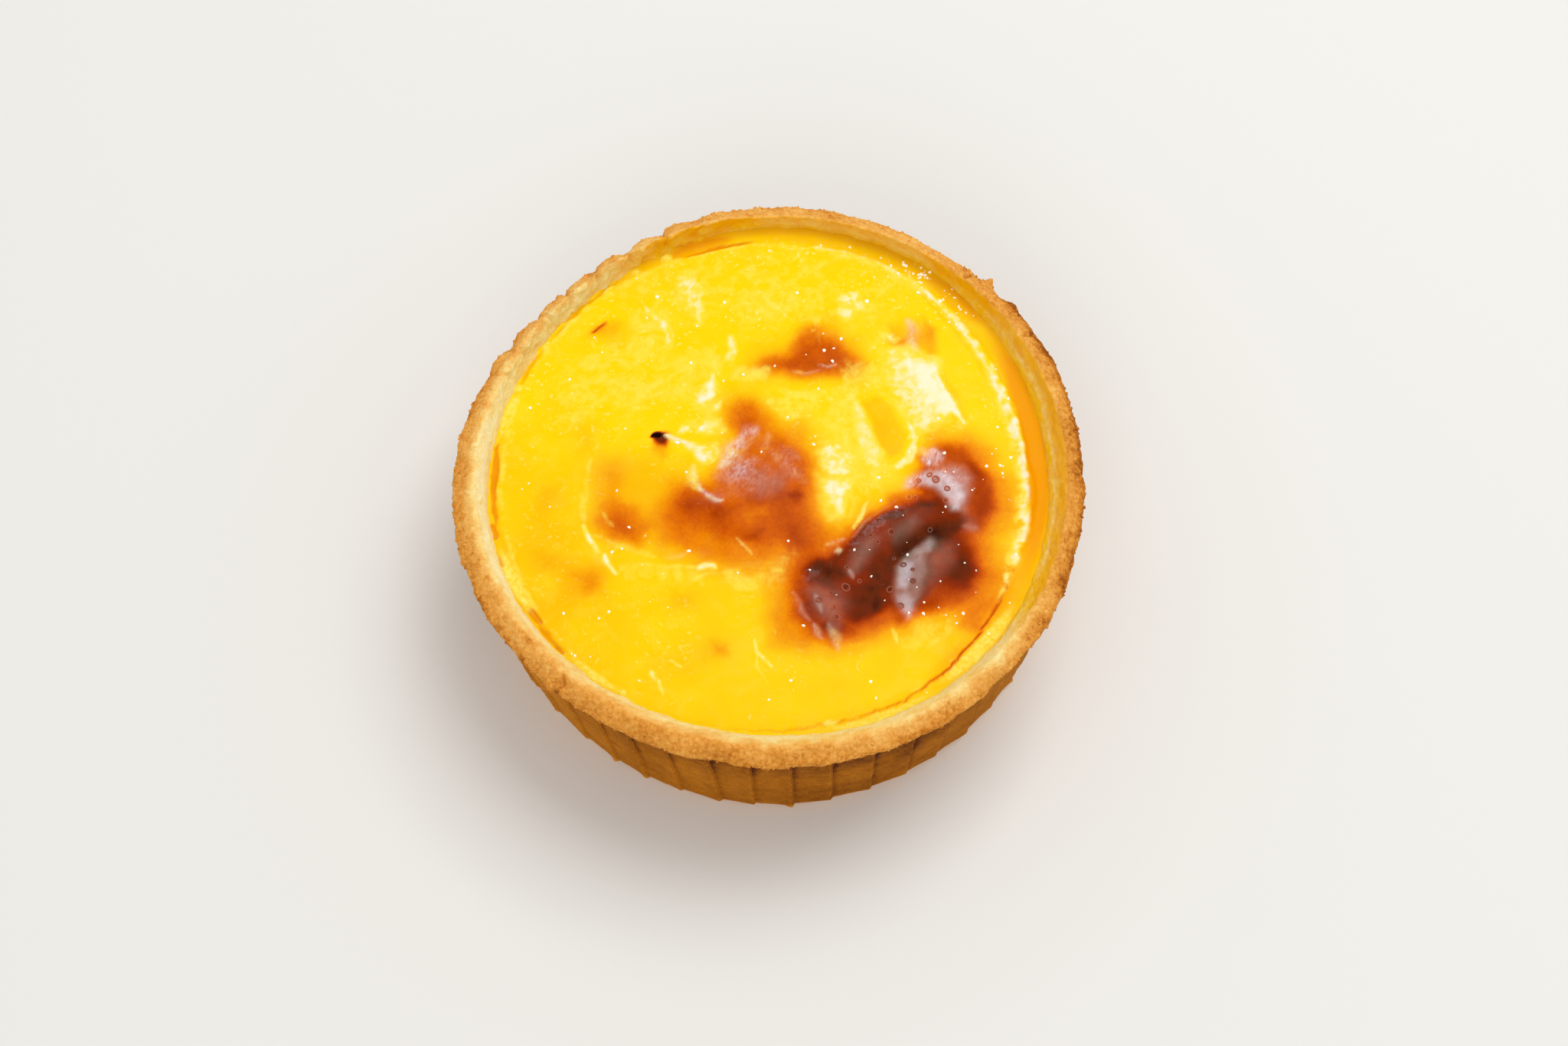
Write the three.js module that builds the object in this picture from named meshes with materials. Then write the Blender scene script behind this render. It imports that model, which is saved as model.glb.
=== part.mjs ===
// A custard flan tart: a hand-pleated shortcrust case with a wavy, folded-over rim, and the baked
// custard that fills it. Millimetres, +Z up. The origin is the middle of the flat underside, and
// -Y is the front.
import * as THREE from 'three';

// Driving dimensions of the pastry case.
const LIP_RADIUS = 52.5; // mean radius of the rim's outer edge
const CREST_HEIGHT = 33; // the rim's highest line, above the underside
const BASE_RADIUS = 48.9; // foot of the wall
const BASE_ROUNDING = 1.2; // rounding where the wall meets the underside
const LIP_OVERHANG = 1; // how far the rim stands out past the wall
const LIP_THICKNESS = 1.1; // height of the folded edge that hangs over the wall
const CREST_RADIUS = 49.5; // mean radius of the crest, where the browned top ends
const CREST_FOLLOW = 0.6; // how much of the rim's waves the crest follows
const TOP_DROP = 2; // how far that top falls from the crest towards the outside
const BRIM_RADIUS = 47.6; // mean radius of the line where the custard meets the case
const BEVEL_DROP = 4.1; // the pale slope from the crest down to that line
const BEVEL_LEAST = 0.15; // its width where it is steepest, at the back
const WALL_THICKNESS = 4.6; // of the case, beside the custard at its foot
const FLOOR_THICKNESS = 3.6;
const SHOULDER_DROP = 2; // height of the short steep step in the inner wall, below the brim
const SHOULDER_WIDTH = 0.4; // how far that step leads inwards
const HEEL = 1.4; // chamfer where the inner wall meets the floor
const CREST_SWAY = 0.45; // how far the crest rises and dips along the rim

// The rim isn't round. Each wave adds size * cos(count * (angle - heading)) to its radius.
const RIM_WAVES = [
  { count: 2, size: 0.64, heading: 31 },
  { count: 3, size: 0.66, heading: -47 },
  { count: 4, size: 0.38, heading: 2 },
  { count: 5, size: 0.16, heading: 27 },
  { count: 6, size: 0.15, heading: -28 },
];

// The line of the custard isn't round either, and it lies further back than the rim.
const BRIM_WAVES = [
  { count: 1, size: 1.45, heading: 94 },
  { count: 2, size: 0.3, heading: 70 },
  { count: 3, size: 0.75, heading: -46 },
];

// Pleats round the wall: flat facets that overlap like shingles, with a step at each seam.
const PLEAT_COUNT = 47;
const PLEAT_START = -93.6; // angle of the first seam, in degrees
const PLEAT_DEPTH = 0.65; // height of a step at a seam
const PLEAT_SWAY = 0.9; // how unevenly the seams are spaced, in degrees
const PLEAT_LEAN = 1.1; // how far a seam's foot lies ahead of its head, in degrees
const PLEAT_STOPS = [0, 0.3, 0.6, 0.9]; // mesh columns across one pleat, as shares of it

// Driving dimensions of the custard.
const FIT_GAP = 0.3; // clearance between the custard and its case
const SKIN_RISE = 0.6; // the skin's raised edge, where it has pulled away from the crust
const SKIN_WIDTH = 1.3;
const TROUGH_DEPTH = 0.9; // the hollow between that edge and the crust
const SKIN_FADE = 14; // degrees in which that edge and the hollow fade in and out
const CUSTARD_CROWN = 0.4; // how far the middle stands above the edge
const CUSTARD_COLUMNS = 108;
const CUSTARD_RINGS = 15;
const RING_CROWDING = 1.6; // above 1, the rings lie closer together towards the edge
const EDGE_ROUNDING = 0.4; // how far the skin curls down at the crust

// The skin's raised edge, round the right-hand side.
const SKIN_EDGE = [
  { angle: -80, radius: 45.2 },
  { angle: -50, radius: 44.8 },
  { angle: -22, radius: 43.3 },
  { angle: 8, radius: 42.8 },
  { angle: 28, radius: 43.4 },
  { angle: 50, radius: 45 },
  { angle: 70, radius: 46 },
  { angle: 104, radius: 46 },
];

// Blisters and dishes in the skin: place, half-lengths, heading in degrees, and height.
const SKIN_FORMS = [
  { x: 24, y: -7, long: 17, wide: 9, heading: 40, rise: 1.3 }, // the big scorched blister
  { x: 33, y: -1, long: 7, wide: 6, heading: 0, rise: 0.6 },
  { x: 10, y: -21, long: 8, wide: 6, heading: 10, rise: 0.7 },
  { x: 26, y: -17, long: 6, wide: 5, heading: 0, rise: 0.4 },
  { x: 20, y: 9, long: 8, wide: 4, heading: 105, rise: 0.7 }, // the oval blister beside it
  { x: -1, y: 2, long: 11, wide: 8, heading: 20, rise: 0.6 }, // the middle one
  { x: -22, y: -5, long: 11, wide: 10, heading: 0, rise: -0.8 }, // the dish on the left
  { x: 7.5, y: 24, long: 9, wide: 6, heading: 0, rise: 0.5 },
  { x: -19, y: 8, long: 4, wide: 3, heading: 0, rise: -0.4 },
];

const FULL_TURN = 360;

/** A direction in degrees as radians. */
function radians(degrees) {
  return THREE.MathUtils.degToRad(degrees);
}

/** The sum of a list of waves at an angle. */
function waveSum(waves, degrees) {
  let sum = 0;
  for (const wave of waves) {
    sum += wave.size * Math.cos(wave.count * radians(degrees - wave.heading));
  }
  return sum;
}

/** Radius of the rim's outer edge at an angle. */
function lipRadius(degrees) {
  return LIP_RADIUS + waveSum(RIM_WAVES, degrees);
}

/** Radius of the crest at an angle. */
function crestRadius(degrees) {
  return CREST_RADIUS + CREST_FOLLOW * waveSum(RIM_WAVES, degrees);
}

/** Radius of the line where the custard meets the case at an angle. */
function brimRadius(degrees) {
  return Math.min(BRIM_RADIUS + waveSum(BRIM_WAVES, degrees), crestRadius(degrees) - BEVEL_LEAST);
}

/** Radius of the foot of the wall at an angle. */
function footRadius(degrees) {
  return BASE_RADIUS + 0.5 * waveSum(RIM_WAVES, degrees);
}

/** How far the crest stands above its mean height at an angle. */
function crestWave(degrees) {
  const slow = Math.sin(radians(3 * degrees + 40));
  const quick = Math.sin(radians(7 * degrees - 25));
  return CREST_SWAY * (0.6 * slow + 0.4 * quick);
}

/** Angle of a place along the pleats, at the head of the wall: whole numbers are seams. */
function pleatAngle(place) {
  const even = PLEAT_START + (FULL_TURN * place) / PLEAT_COUNT;
  const slow = Math.cos(radians(2 * even));
  const quick = Math.sin(radians(11 * even + 60));
  return even + PLEAT_SWAY * (0.6 * slow + 0.4 * quick);
}

/** The step of a pleat: it rises evenly from its seam to a ridge just before the next one. */
function pleatStep(share) {
  const ridge = PLEAT_STOPS.at(-1);
  return share < ridge ? share / ridge : (1 - share) / (1 - ridge);
}

/**
 * The case's section, from the middle of the underside, up the wall, over the rim and down to the
 * middle of the floor. Each ring has a height, a radius at an angle, how much of the pleats' steps
 * it takes, and how much of the crest's rise.
 */
function caseSection() {
  const lip = CREST_HEIGHT - TOP_DROP;
  const head = lip - LIP_THICKNESS;
  const under = (overhang) => (a) => lipRadius(a) - overhang;
  const top = (share) => (a) => THREE.MathUtils.lerp(lipRadius(a), crestRadius(a), share);
  const bevel = (share) => (a) => THREE.MathUtils.lerp(crestRadius(a), brimRadius(a), share);
  const foot = (offset) => (a) => footRadius(a) + offset;
  return [
    { z: 0, radius: foot(-BASE_ROUNDING), step: 0.5, sway: 0 },
    { z: BASE_ROUNDING * 0.35, radius: foot(-BASE_ROUNDING * 0.3), step: 0.8, sway: 0 },
    { z: BASE_ROUNDING * 1.4, radius: foot(0.1), step: 1, sway: 0 },
    { z: head, radius: under(LIP_OVERHANG), step: 1, sway: 0.5 },
    { z: head + 0.5 * LIP_THICKNESS, radius: under(0.25 * LIP_OVERHANG), step: 0.7, sway: 0.8 },
    { z: lip - 0.1 * LIP_THICKNESS, radius: under(0), step: 0.5, sway: 1 },
    { z: lip + 0.3 * TOP_DROP, radius: top(0.25), step: 0.3, sway: 1 },
    { z: lip + 0.8 * TOP_DROP, radius: top(0.7), step: 0.1, sway: 1 },
    { z: CREST_HEIGHT, radius: top(1), step: 0, sway: 1 },
    { z: CREST_HEIGHT - 0.15 * BEVEL_DROP, radius: bevel(0.2), step: 0, sway: 1 },
    { z: CREST_HEIGHT - 0.6 * BEVEL_DROP, radius: bevel(0.7), step: 0, sway: 0.6 },
    ...innerWall(),
  ];
}

/** The last rings of the section, where the custard touches the case: brim, wall and floor. */
function innerWall() {
  const brim = CREST_HEIGHT - BEVEL_DROP;
  const inside = (offset) => (a) => footRadius(a) - WALL_THICKNESS + offset;
  return [
    { z: brim, radius: brimRadius, step: 0, sway: 0 },
    { z: brim - SHOULDER_DROP, radius: (a) => brimRadius(a) - SHOULDER_WIDTH, step: 0, sway: 0 },
    { z: FLOOR_THICKNESS + HEEL, radius: inside(0), step: 0, sway: 0 },
    { z: FLOOR_THICKNESS, radius: inside(-HEEL), step: 0, sway: 0 },
  ];
}

/** Joins rings of points, and a point at each end, into one closed surface with outward faces. */
function closedRings(start, rings, end) {
  const count = rings[0].length;
  const points = [start, ...rings.flat(), end];
  const faces = [];
  const last = points.length - 1;
  const at = (ring, column) => 1 + ring * count + (column % count);
  for (let column = 0; column < count; column += 1) {
    faces.push(0, at(0, column + 1), at(0, column));
    for (let ring = 0; ring + 1 < rings.length; ring += 1) {
      const lowLeft = at(ring, column);
      const lowRight = at(ring, column + 1);
      const highLeft = at(ring + 1, column);
      const highRight = at(ring + 1, column + 1);
      faces.push(lowLeft, lowRight, highRight);
      faces.push(lowLeft, highRight, highLeft);
    }
    faces.push(at(rings.length - 1, column), at(rings.length - 1, column + 1), last);
  }
  const geometry = new THREE.BufferGeometry();
  geometry.setAttribute('position', new THREE.Float32BufferAttribute(points.flat(), 3));
  geometry.setIndex(faces);
  geometry.computeVertexNormals();
  return geometry;
}

/** A point at an angle, a radius and a height. */
function polar(degrees, r, z) {
  return [r * Math.cos(radians(degrees)), r * Math.sin(radians(degrees)), z];
}

/** The pastry case: underside, pleated wall, folded rim, pale inner bevel and floor. */
function caseGeometry() {
  const rings = caseSection().map((ring) => {
    const points = [];
    for (let pleat = 0; pleat < PLEAT_COUNT; pleat += 1) {
      for (const stop of PLEAT_STOPS) {
        const lean = PLEAT_LEAN * (1 - Math.min(ring.z / CREST_HEIGHT, 1));
        const angle = pleatAngle(pleat + stop) + (ring.step > 0 ? lean : 0);
        const step = ring.step * PLEAT_DEPTH * (pleatStep(stop) - 0.5);
        points.push(polar(angle, ring.radius(angle) + step, ring.z + ring.sway * crestWave(angle)));
      }
    }
    return points;
  });
  return closedRings([0, 0, 0], rings, [0, 0, FLOOR_THICKNESS]);
}

/** A smooth bump of height 1 at the middle, and 0 from a distance of 1 outwards. */
function bump(distance) {
  const share = Math.max(0, 1 - distance * distance);
  return share * share;
}

/** Radius of the skin's raised edge at an angle. */
function skinRadius(degrees) {
  const next = SKIN_EDGE.findIndex((point) => point.angle > degrees);
  if (next < 1) {
    return SKIN_EDGE.at(next).radius;
  }
  const from = SKIN_EDGE[next - 1];
  const to = SKIN_EDGE[next];
  const share = (degrees - from.angle) / (to.angle - from.angle);
  return THREE.MathUtils.lerp(from.radius, to.radius, share);
}

/** How much of the skin's edge has pulled away from the crust at an angle: 0 to 1. */
function pulledAway(degrees) {
  const first = SKIN_EDGE[0].angle;
  const last = SKIN_EDGE.at(-1).angle;
  const opened = THREE.MathUtils.smoothstep(degrees, first, first + SKIN_FADE);
  const closed = THREE.MathUtils.smoothstep(degrees, last - SKIN_FADE, last);
  return opened * (1 - closed);
}

/** Height of the custard's skin above its edge, at a place. */
function skinRelief(x, y) {
  const r = Math.hypot(x, y);
  const angle = THREE.MathUtils.radToDeg(Math.atan2(y, x));
  const pulled = pulledAway(angle);
  const skin = skinRadius(angle);
  const hollow = (brimRadius(angle) - FIT_GAP - skin) / 2;
  let height = CUSTARD_CROWN * (1 - (r / LIP_RADIUS) ** 2);
  height += pulled * SKIN_RISE * bump((r - skin) / SKIN_WIDTH);
  height -= pulled * TROUGH_DEPTH * bump((r - skin - 1.2 * hollow) / hollow);
  for (const form of SKIN_FORMS) {
    const turn = radians(form.heading);
    const along = (x - form.x) * Math.cos(turn) + (y - form.y) * Math.sin(turn);
    const across = (y - form.y) * Math.cos(turn) - (x - form.x) * Math.sin(turn);
    height += form.rise * bump(Math.hypot(along / form.long, across / form.wide));
  }
  return height;
}

/** The custard: a plug that follows the case's inner wall, with the blistered skin on top. */
function custardGeometry() {
  const [brim, shoulder, heel, floor] = innerWall();
  const angles = Array.from({ length: CUSTARD_COLUMNS }, (_, i) => (FULL_TURN * i) / CUSTARD_COLUMNS);
  const side = (wall, drop, rise) =>
    angles.map((angle) => polar(angle, wall.radius(angle) - FIT_GAP - drop, wall.z + rise));
  const rings = [side(floor, FIT_GAP, FIT_GAP), side(heel, 0.2, FIT_GAP), side(shoulder, 0.15, 0)];
  const rim = side(brim, 0, 0);
  for (let ring = 0; ring < CUSTARD_RINGS; ring += 1) {
    const share = 1 - (ring / CUSTARD_RINGS) ** RING_CROWDING;
    const level = brim.z - (ring === 0 ? EDGE_ROUNDING : 0);
    rings.push(
      rim.map(([x, y]) => [x * share, y * share, level + skinRelief(x * share, y * share)]),
    );
  }
  return closedRings([0, 0, floor.z + FIT_GAP], rings, [0, 0, brim.z + skinRelief(0, 0)]);
}

/** One named sub-part with its own material. */
function subPart(name, geometry, color, roughness) {
  const material = new THREE.MeshStandardMaterial({ color, roughness, metalness: 0 });
  const mesh = new THREE.Mesh(geometry, material);
  mesh.name = name;
  return mesh;
}

const tart = new THREE.Group();
tart.add(subPart('crust', caseGeometry(), 0xd9a663, 0.85));
tart.add(subPart('custard', custardGeometry(), 0xf6c81e, 0.3));

export default tart;
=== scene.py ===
"""A custard flan tart: a pleated shortcrust case with a folded rim, filled with scorched custard.

Lengths are in millimetres until a mesh is made, and then in metres. The origin is the middle of
the tart's flat underside, +Z is up and -Y is the front. Places round the tart are given as angles
in degrees from +X towards +Y.
"""

import math

import bpy
import numpy as np
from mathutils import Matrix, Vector


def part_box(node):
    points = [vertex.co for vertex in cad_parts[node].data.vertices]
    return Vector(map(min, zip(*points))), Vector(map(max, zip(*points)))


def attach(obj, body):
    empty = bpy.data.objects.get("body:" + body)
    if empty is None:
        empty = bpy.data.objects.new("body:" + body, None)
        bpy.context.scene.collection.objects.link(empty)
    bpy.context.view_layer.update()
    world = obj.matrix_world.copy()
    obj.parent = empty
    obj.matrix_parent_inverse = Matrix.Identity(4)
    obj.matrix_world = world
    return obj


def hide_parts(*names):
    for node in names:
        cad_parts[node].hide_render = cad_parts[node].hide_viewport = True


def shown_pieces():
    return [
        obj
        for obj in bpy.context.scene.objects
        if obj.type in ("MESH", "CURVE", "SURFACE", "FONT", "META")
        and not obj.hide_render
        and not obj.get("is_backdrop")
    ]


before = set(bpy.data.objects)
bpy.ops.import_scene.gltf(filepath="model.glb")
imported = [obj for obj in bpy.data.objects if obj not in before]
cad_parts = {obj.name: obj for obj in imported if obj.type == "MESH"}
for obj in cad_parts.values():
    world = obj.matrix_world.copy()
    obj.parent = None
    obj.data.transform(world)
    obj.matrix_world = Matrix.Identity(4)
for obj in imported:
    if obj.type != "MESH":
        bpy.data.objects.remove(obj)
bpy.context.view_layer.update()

MM = 0.001

# The case's section. The lip is the rim's outer edge, the crest its highest line, and the brim the
# line where the custard meets the case. The heights come from the frame.
CREST_SWAY = 0.45
CREST_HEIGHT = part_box("crust")[1].z / MM - CREST_SWAY
TOP_DROP = 2.0
BEVEL_DROP = 4.1
BRIM_HEIGHT = CREST_HEIGHT - BEVEL_DROP
CUSTARD_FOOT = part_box("custard")[0].z / MM
CUSTARD_GAP = 0.3
FLOOR_HEIGHT = CUSTARD_FOOT - CUSTARD_GAP
FLOOR_ROUNDING = 1.4
LIP_RADIUS = 52.5
LIP_OVERHANG = 1.0
LIP_THICKNESS = 1.1
CREST_RADIUS = 49.5
CREST_FOLLOW = 0.6  # share of the rim's waves that the crest takes
BRIM_RADIUS = 47.6
BEVEL_LEAST = 0.15
BASE_RADIUS = 48.9
BASE_FOLLOW = 0.5  # share of the rim's waves that the foot of the wall takes
BASE_ROUNDING = 1.2
WALL_THICKNESS = 4.6
CORE_RADIUS = 8  # radius of the innermost ring of points, on the floor and on the underside

# Each wave of an outline adds size * cos(count * (angle - heading)) to its radius.
RIM_WAVES = [(2, 0.64, 31), (3, 0.66, -47), (4, 0.38, 2), (5, 0.16, 27), (6, 0.15, -28)]
BRIM_WAVES = [(1, 1.45, 94), (2, 0.3, 70), (3, 0.75, -46)]

PLEAT_COUNT = 47
PLEAT_START = -93.6
PLEAT_DEPTH = 0.42
PLEAT_SWAY = 0.9
PLEAT_LEAN = 1.1
PLEAT_LEAN_SPREAD = 1.3
PLEAT_RIDGE = 0.93  # where the ridge stands, as a share of the way from one seam to the next
COLUMNS_PER_PLEAT = 22


# ---------------------------------------------------------------- shapes worked out with numbers

LATTICE_SHIFT = 1000.0  # keeps the noise's lattice above zero
NOISE_GAIN = 1.6  # brings the noise close to the range from -1 to 1
FAR = 1e9


def smooth(low, high, x):
    """0 below low, 1 above high, and an even curve between them."""
    t = np.clip((x - low) / (high - low), 0, 1)
    return t * t * (3 - 2 * t)


def between(low, high, fade, x):
    """1 between low and high, and 0 once a fade's width outside them."""
    return smooth(low - fade, low, x) * (1 - smooth(high, high + fade, x))


def gauss(x):
    return np.exp(-(x**2))


def mound(distance, edge):
    """1 in the middle, 0 from a distance of 1 outwards. Edge is the share that the slope takes."""
    return 1 - smooth(1 - edge, 1, distance)


def hashed(ix, iy, iz, seed):
    """A fixed random number from 0 to 1 for each cell of a lattice. The factors are arbitrary."""
    mask = np.uint64(0xFFFFFFFF)
    mixed = ix * 374761393 + iy * 668265263 + iz * 1440662683 + seed * 974634777
    h = mixed.astype(np.uint64) & mask
    h = ((h ^ (h >> np.uint64(13))) * np.uint64(1274126177)) & mask
    h = ((h ^ (h >> np.uint64(16))) * np.uint64(2246822519)) & mask
    return ((h ^ (h >> np.uint64(15))) & np.uint64(0xFFFF)).astype(float) / 65535


def noise(points, size, seed):
    """Smooth noise from -1 to 1 at points, with lumps about size across."""
    scaled = points / size + LATTICE_SHIFT
    cell = np.floor(scaled).astype(np.int64)
    part = scaled - cell
    fade = part**3 * (part * (part * 6 - 15) + 10)
    total = np.zeros(len(points))
    for corner in range(8):
        step = np.array([corner & 1, corner >> 1 & 1, corner >> 2 & 1])
        at = cell + step
        away = part - step
        tilt = [hashed(at[:, 0], at[:, 1], at[:, 2], seed * 7 + axis) * 2 - 1 for axis in range(3)]
        share = np.prod(np.where(step == 1, fade, 1 - fade), axis=1)
        total += share * (away[:, 0] * tilt[0] + away[:, 1] * tilt[1] + away[:, 2] * tilt[2])
    return total * NOISE_GAIN


def fractal(points, size, octaves, seed):
    """Noise with finer and fainter lumps laid over coarse ones."""
    total = np.zeros(len(points))
    for octave in range(octaves):
        total += noise(points, size / 2**octave, seed + octave) / 2**octave
    return total


def wave_sum(waves, angle):
    return sum(size * np.cos(count * np.radians(angle - heading)) for count, size, heading in waves)


def crest_radius(angle):
    """Radius of the rim's highest line, where the browned top ends."""
    return CREST_RADIUS + CREST_FOLLOW * wave_sum(RIM_WAVES, angle)


def brim_radius(angle):
    """Radius of the line where the custard meets the case."""
    return np.minimum(BRIM_RADIUS + wave_sum(BRIM_WAVES, angle), crest_radius(angle) - BEVEL_LEAST)


def crest_wave(angle):
    """How far the crest stands above its mean height at an angle."""
    slow = np.sin(np.radians(3 * angle + 40))
    quick = np.sin(np.radians(7 * angle - 25))
    return CREST_SWAY * (0.6 * slow + 0.4 * quick)


def pleat_angle(place):
    """Angle of a place along the pleats at the head of the wall: whole numbers are seams."""
    even = PLEAT_START + 360 * place / PLEAT_COUNT
    slow = np.cos(np.radians(2 * even))
    quick = np.sin(np.radians(11 * even + 60))
    return even + PLEAT_SWAY * (0.6 * slow + 0.4 * quick)


def pleat_profile(share):
    """The step across one pleat: an even rise to a ridge, then a quick fall at the seam."""
    rise = share / PLEAT_RIDGE
    fall = (1 - share) / (1 - PLEAT_RIDGE)
    return np.minimum(rise, fall) - 0.5


def turn_between(angle, other):
    """The turn from one angle to another, from -180 to 180."""
    return (angle - other + 180) % 360 - 180


def around(angle, low, high, fade):
    """1 from one angle to another, and 0 once a fade's width outside them."""
    half = (high - low) / 2
    return 1 - smooth(half, half + fade, np.abs(turn_between(angle, low + half)))


def polar(angle, radius):
    """Points in the plane at an angle and a radius."""
    return radius * np.cos(np.radians(angle)), radius * np.sin(np.radians(angle))


def table_values(table, angle):
    """Each column of a table at an angle. The table's first column is the angle, in rising order."""
    marks = np.array(table).T
    return [np.interp(angle, marks[0], values) for values in marks[1:]]


def outline_depth(x, y, points):
    """How far each place is inside a closed outline. Outside, the distance is below zero."""
    gap = np.full(x.shape, FAR)
    inside = np.zeros(x.shape, bool)
    for (ax, ay), (bx, by) in zip(points, [*points[1:], points[0]]):
        dx, dy = bx - ax, by - ay
        share = np.clip(((x - ax) * dx + (y - ay) * dy) / (dx * dx + dy * dy), 0, 1)
        gap = np.minimum(gap, np.hypot(x - ax - share * dx, y - ay - share * dy))
        if dy:
            inside ^= ((y > ay) != (y > by)) & (x < ax + (y - ay) * dx / dy)
    return np.where(inside, gap, -gap)


def line_distance(x, y, points):
    """Distance from a line of straight stretches, and the place along it from 0 to 1."""
    best = np.full(x.shape, FAR)
    place = np.zeros(x.shape)
    for count, ((ax, ay), (bx, by)) in enumerate(zip(points, points[1:])):
        dx, dy = bx - ax, by - ay
        share = np.clip(((x - ax) * dx + (y - ay) * dy) / (dx * dx + dy * dy), 0, 1)
        gap = np.hypot(x - ax - share * dx, y - ay - share * dy)
        nearer = gap < best
        place = np.where(nearer, (count + share) / (len(points) - 1), place)
        best = np.where(nearer, gap, best)
    return best, place


def patches(x, y, forms, breaks):
    """Patches of a value. Each has a strength, a fade, a share that is broken up, and an outline."""
    total = np.zeros_like(x)
    for strength, fade, broken, *outline in forms:
        patch = smooth(-fade, fade, outline_depth(x, y, outline))
        total += strength * patch * (1 - broken + broken * breaks)
    return total


def softened(values, passes):
    """Evens out numbers that lie on a square grid."""
    side = math.isqrt(len(values))
    grid = np.array(values).reshape(side, side)
    for _ in range(passes):
        grid[1:-1] = (grid[:-2] + 2 * grid[1:-1] + grid[2:]) / 4
        grid[:, 1:-1] = (grid[:, :-2] + 2 * grid[:, 1:-1] + grid[:, 2:]) / 4
    return grid.ravel()


# ---------------------------------------------------------------- meshes and node trees


def add_object(name, data):
    """An object at the origin that shows this data."""
    added = bpy.data.objects.new(name, data)
    bpy.context.scene.collection.objects.link(added)
    return added


def make_piece(name, points, faces):
    """An object with this mesh, shaded smoothly. Points are in millimetres."""
    mesh = bpy.data.meshes.new(name)
    mesh.from_pydata((np.asarray(points) * MM).tolist(), [], faces)
    mesh.polygons.foreach_set("use_smooth", [True] * len(mesh.polygons))
    mesh.update()
    return add_object(name, mesh)


def add_values(piece, name, values):
    """Gives each point of a piece a number that its material or node tree can read."""
    attribute = piece.data.attributes.new(name, "FLOAT", "POINT")
    attribute.data.foreach_set("value", np.asarray(values, np.float32))


class Nodes:
    """Makes and joins the nodes of one tree."""

    def __init__(self, tree):
        self.tree = tree

    def make(self, kind, inputs=(), **settings):
        """A node of a kind. Inputs maps names or places to values or to other nodes' outputs."""
        node = self.tree.nodes.new(kind)
        for name, value in settings.items():
            setattr(node, name, value)
        for place, value in dict(inputs).items():
            if isinstance(value, bpy.types.NodeSocket):
                self.tree.links.new(value, node.inputs[place])
            else:
                node.inputs[place].default_value = value
        return node

    def math(self, operation, *values, clamp=False):
        """One step of arithmetic on numbers or on other nodes' outputs."""
        node = self.make("ShaderNodeMath", enumerate(values), operation=operation, use_clamp=clamp)
        return node.outputs[0]

    def plus(self, value, other):
        return self.math("ADD", value, other)

    def times(self, value, other, clamp=False):
        return self.math("MULTIPLY", value, other, clamp=clamp)

    def fitted(self, value, factor, base):
        """A value times a factor, plus a base."""
        return self.math("MULTIPLY_ADD", value, factor, base)


class Growth(Nodes):
    """A geometry node tree with named sizes, which changes or covers one piece."""

    def __init__(self, name):
        super().__init__(bpy.data.node_groups.new(name, "GeometryNodeTree"))
        self.values = {}
        for way in ("INPUT", "OUTPUT"):
            self.tree.interface.new_socket("Geometry", in_out=way, socket_type="NodeSocketGeometry")
        self.start = self.tree.nodes.new("NodeGroupInput")
        self.end = self.tree.nodes.new("NodeGroupOutput")

    @property
    def geometry(self):
        return self.start.outputs["Geometry"]

    def size(self, name, value):
        """A named input of the tree, and its value."""
        socket = self.tree.interface.new_socket(name, in_out="INPUT", socket_type="NodeSocketFloat")
        self.values[socket.identifier] = value
        return self.start.outputs[name]

    def read(self, name):
        """A number that the piece holds at each point."""
        return self.make("GeometryNodeInputNamedAttribute", {"Name": name}, data_type="FLOAT").outputs[0]

    def swell(self, size, depth, detail=0.0, count=1.0):
        """Noise that swings about 0 within a depth, with a count of lumps to each size."""
        scale = self.math("DIVIDE", count, size)
        value = self.make("ShaderNodeTexNoise", {"Scale": scale, "Detail": detail}).outputs["Fac"]
        return self.times(self.math("SUBTRACT", value, 0.5), depth)

    def scaled(self, vector, factor):
        inputs = {0: vector, "Scale": factor}
        return self.make("ShaderNodeVectorMath", inputs, operation="SCALE").outputs[0]

    def moved(self, geometry, offset):
        inputs = {"Geometry": geometry, "Offset": offset}
        return self.make("GeometryNodeSetPosition", inputs).outputs[0]

    def pushed(self, geometry, distance):
        """Moves each point of a geometry out along its normal."""
        normal = self.make("GeometryNodeInputNormal").outputs[0]
        return self.moved(geometry, self.scaled(normal, distance))

    def random_vector(self, low, high, seed):
        inputs = {"Min": low, "Max": high, "Seed": seed}
        return self.make("FunctionNodeRandomValue", inputs, data_type="FLOAT_VECTOR").outputs[0]

    def grow(self, piece, name, geometry, material):
        """Ends the tree, runs it on a piece, and gives the result as a plain mesh of its own."""
        real = self.make("GeometryNodeRealizeInstances", {0: geometry}).outputs[0]
        coated = self.make("GeometryNodeSetMaterial", {"Geometry": real, "Material": material}).outputs[0]
        self.tree.links.new(coated, self.end.inputs[0])
        modifier = piece.modifiers.new(self.tree.name, "NODES")
        modifier.node_group = self.tree
        for identifier, value in self.values.items():
            modifier[identifier] = value
        shown = piece.evaluated_get(bpy.context.evaluated_depsgraph_get())
        mesh = bpy.data.meshes.new_from_object(shown)
        piece.modifiers.remove(modifier)
        mesh.name = name
        return add_object(name, mesh)


ANY_TURN = 6.28  # all the way round, in radians

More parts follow.
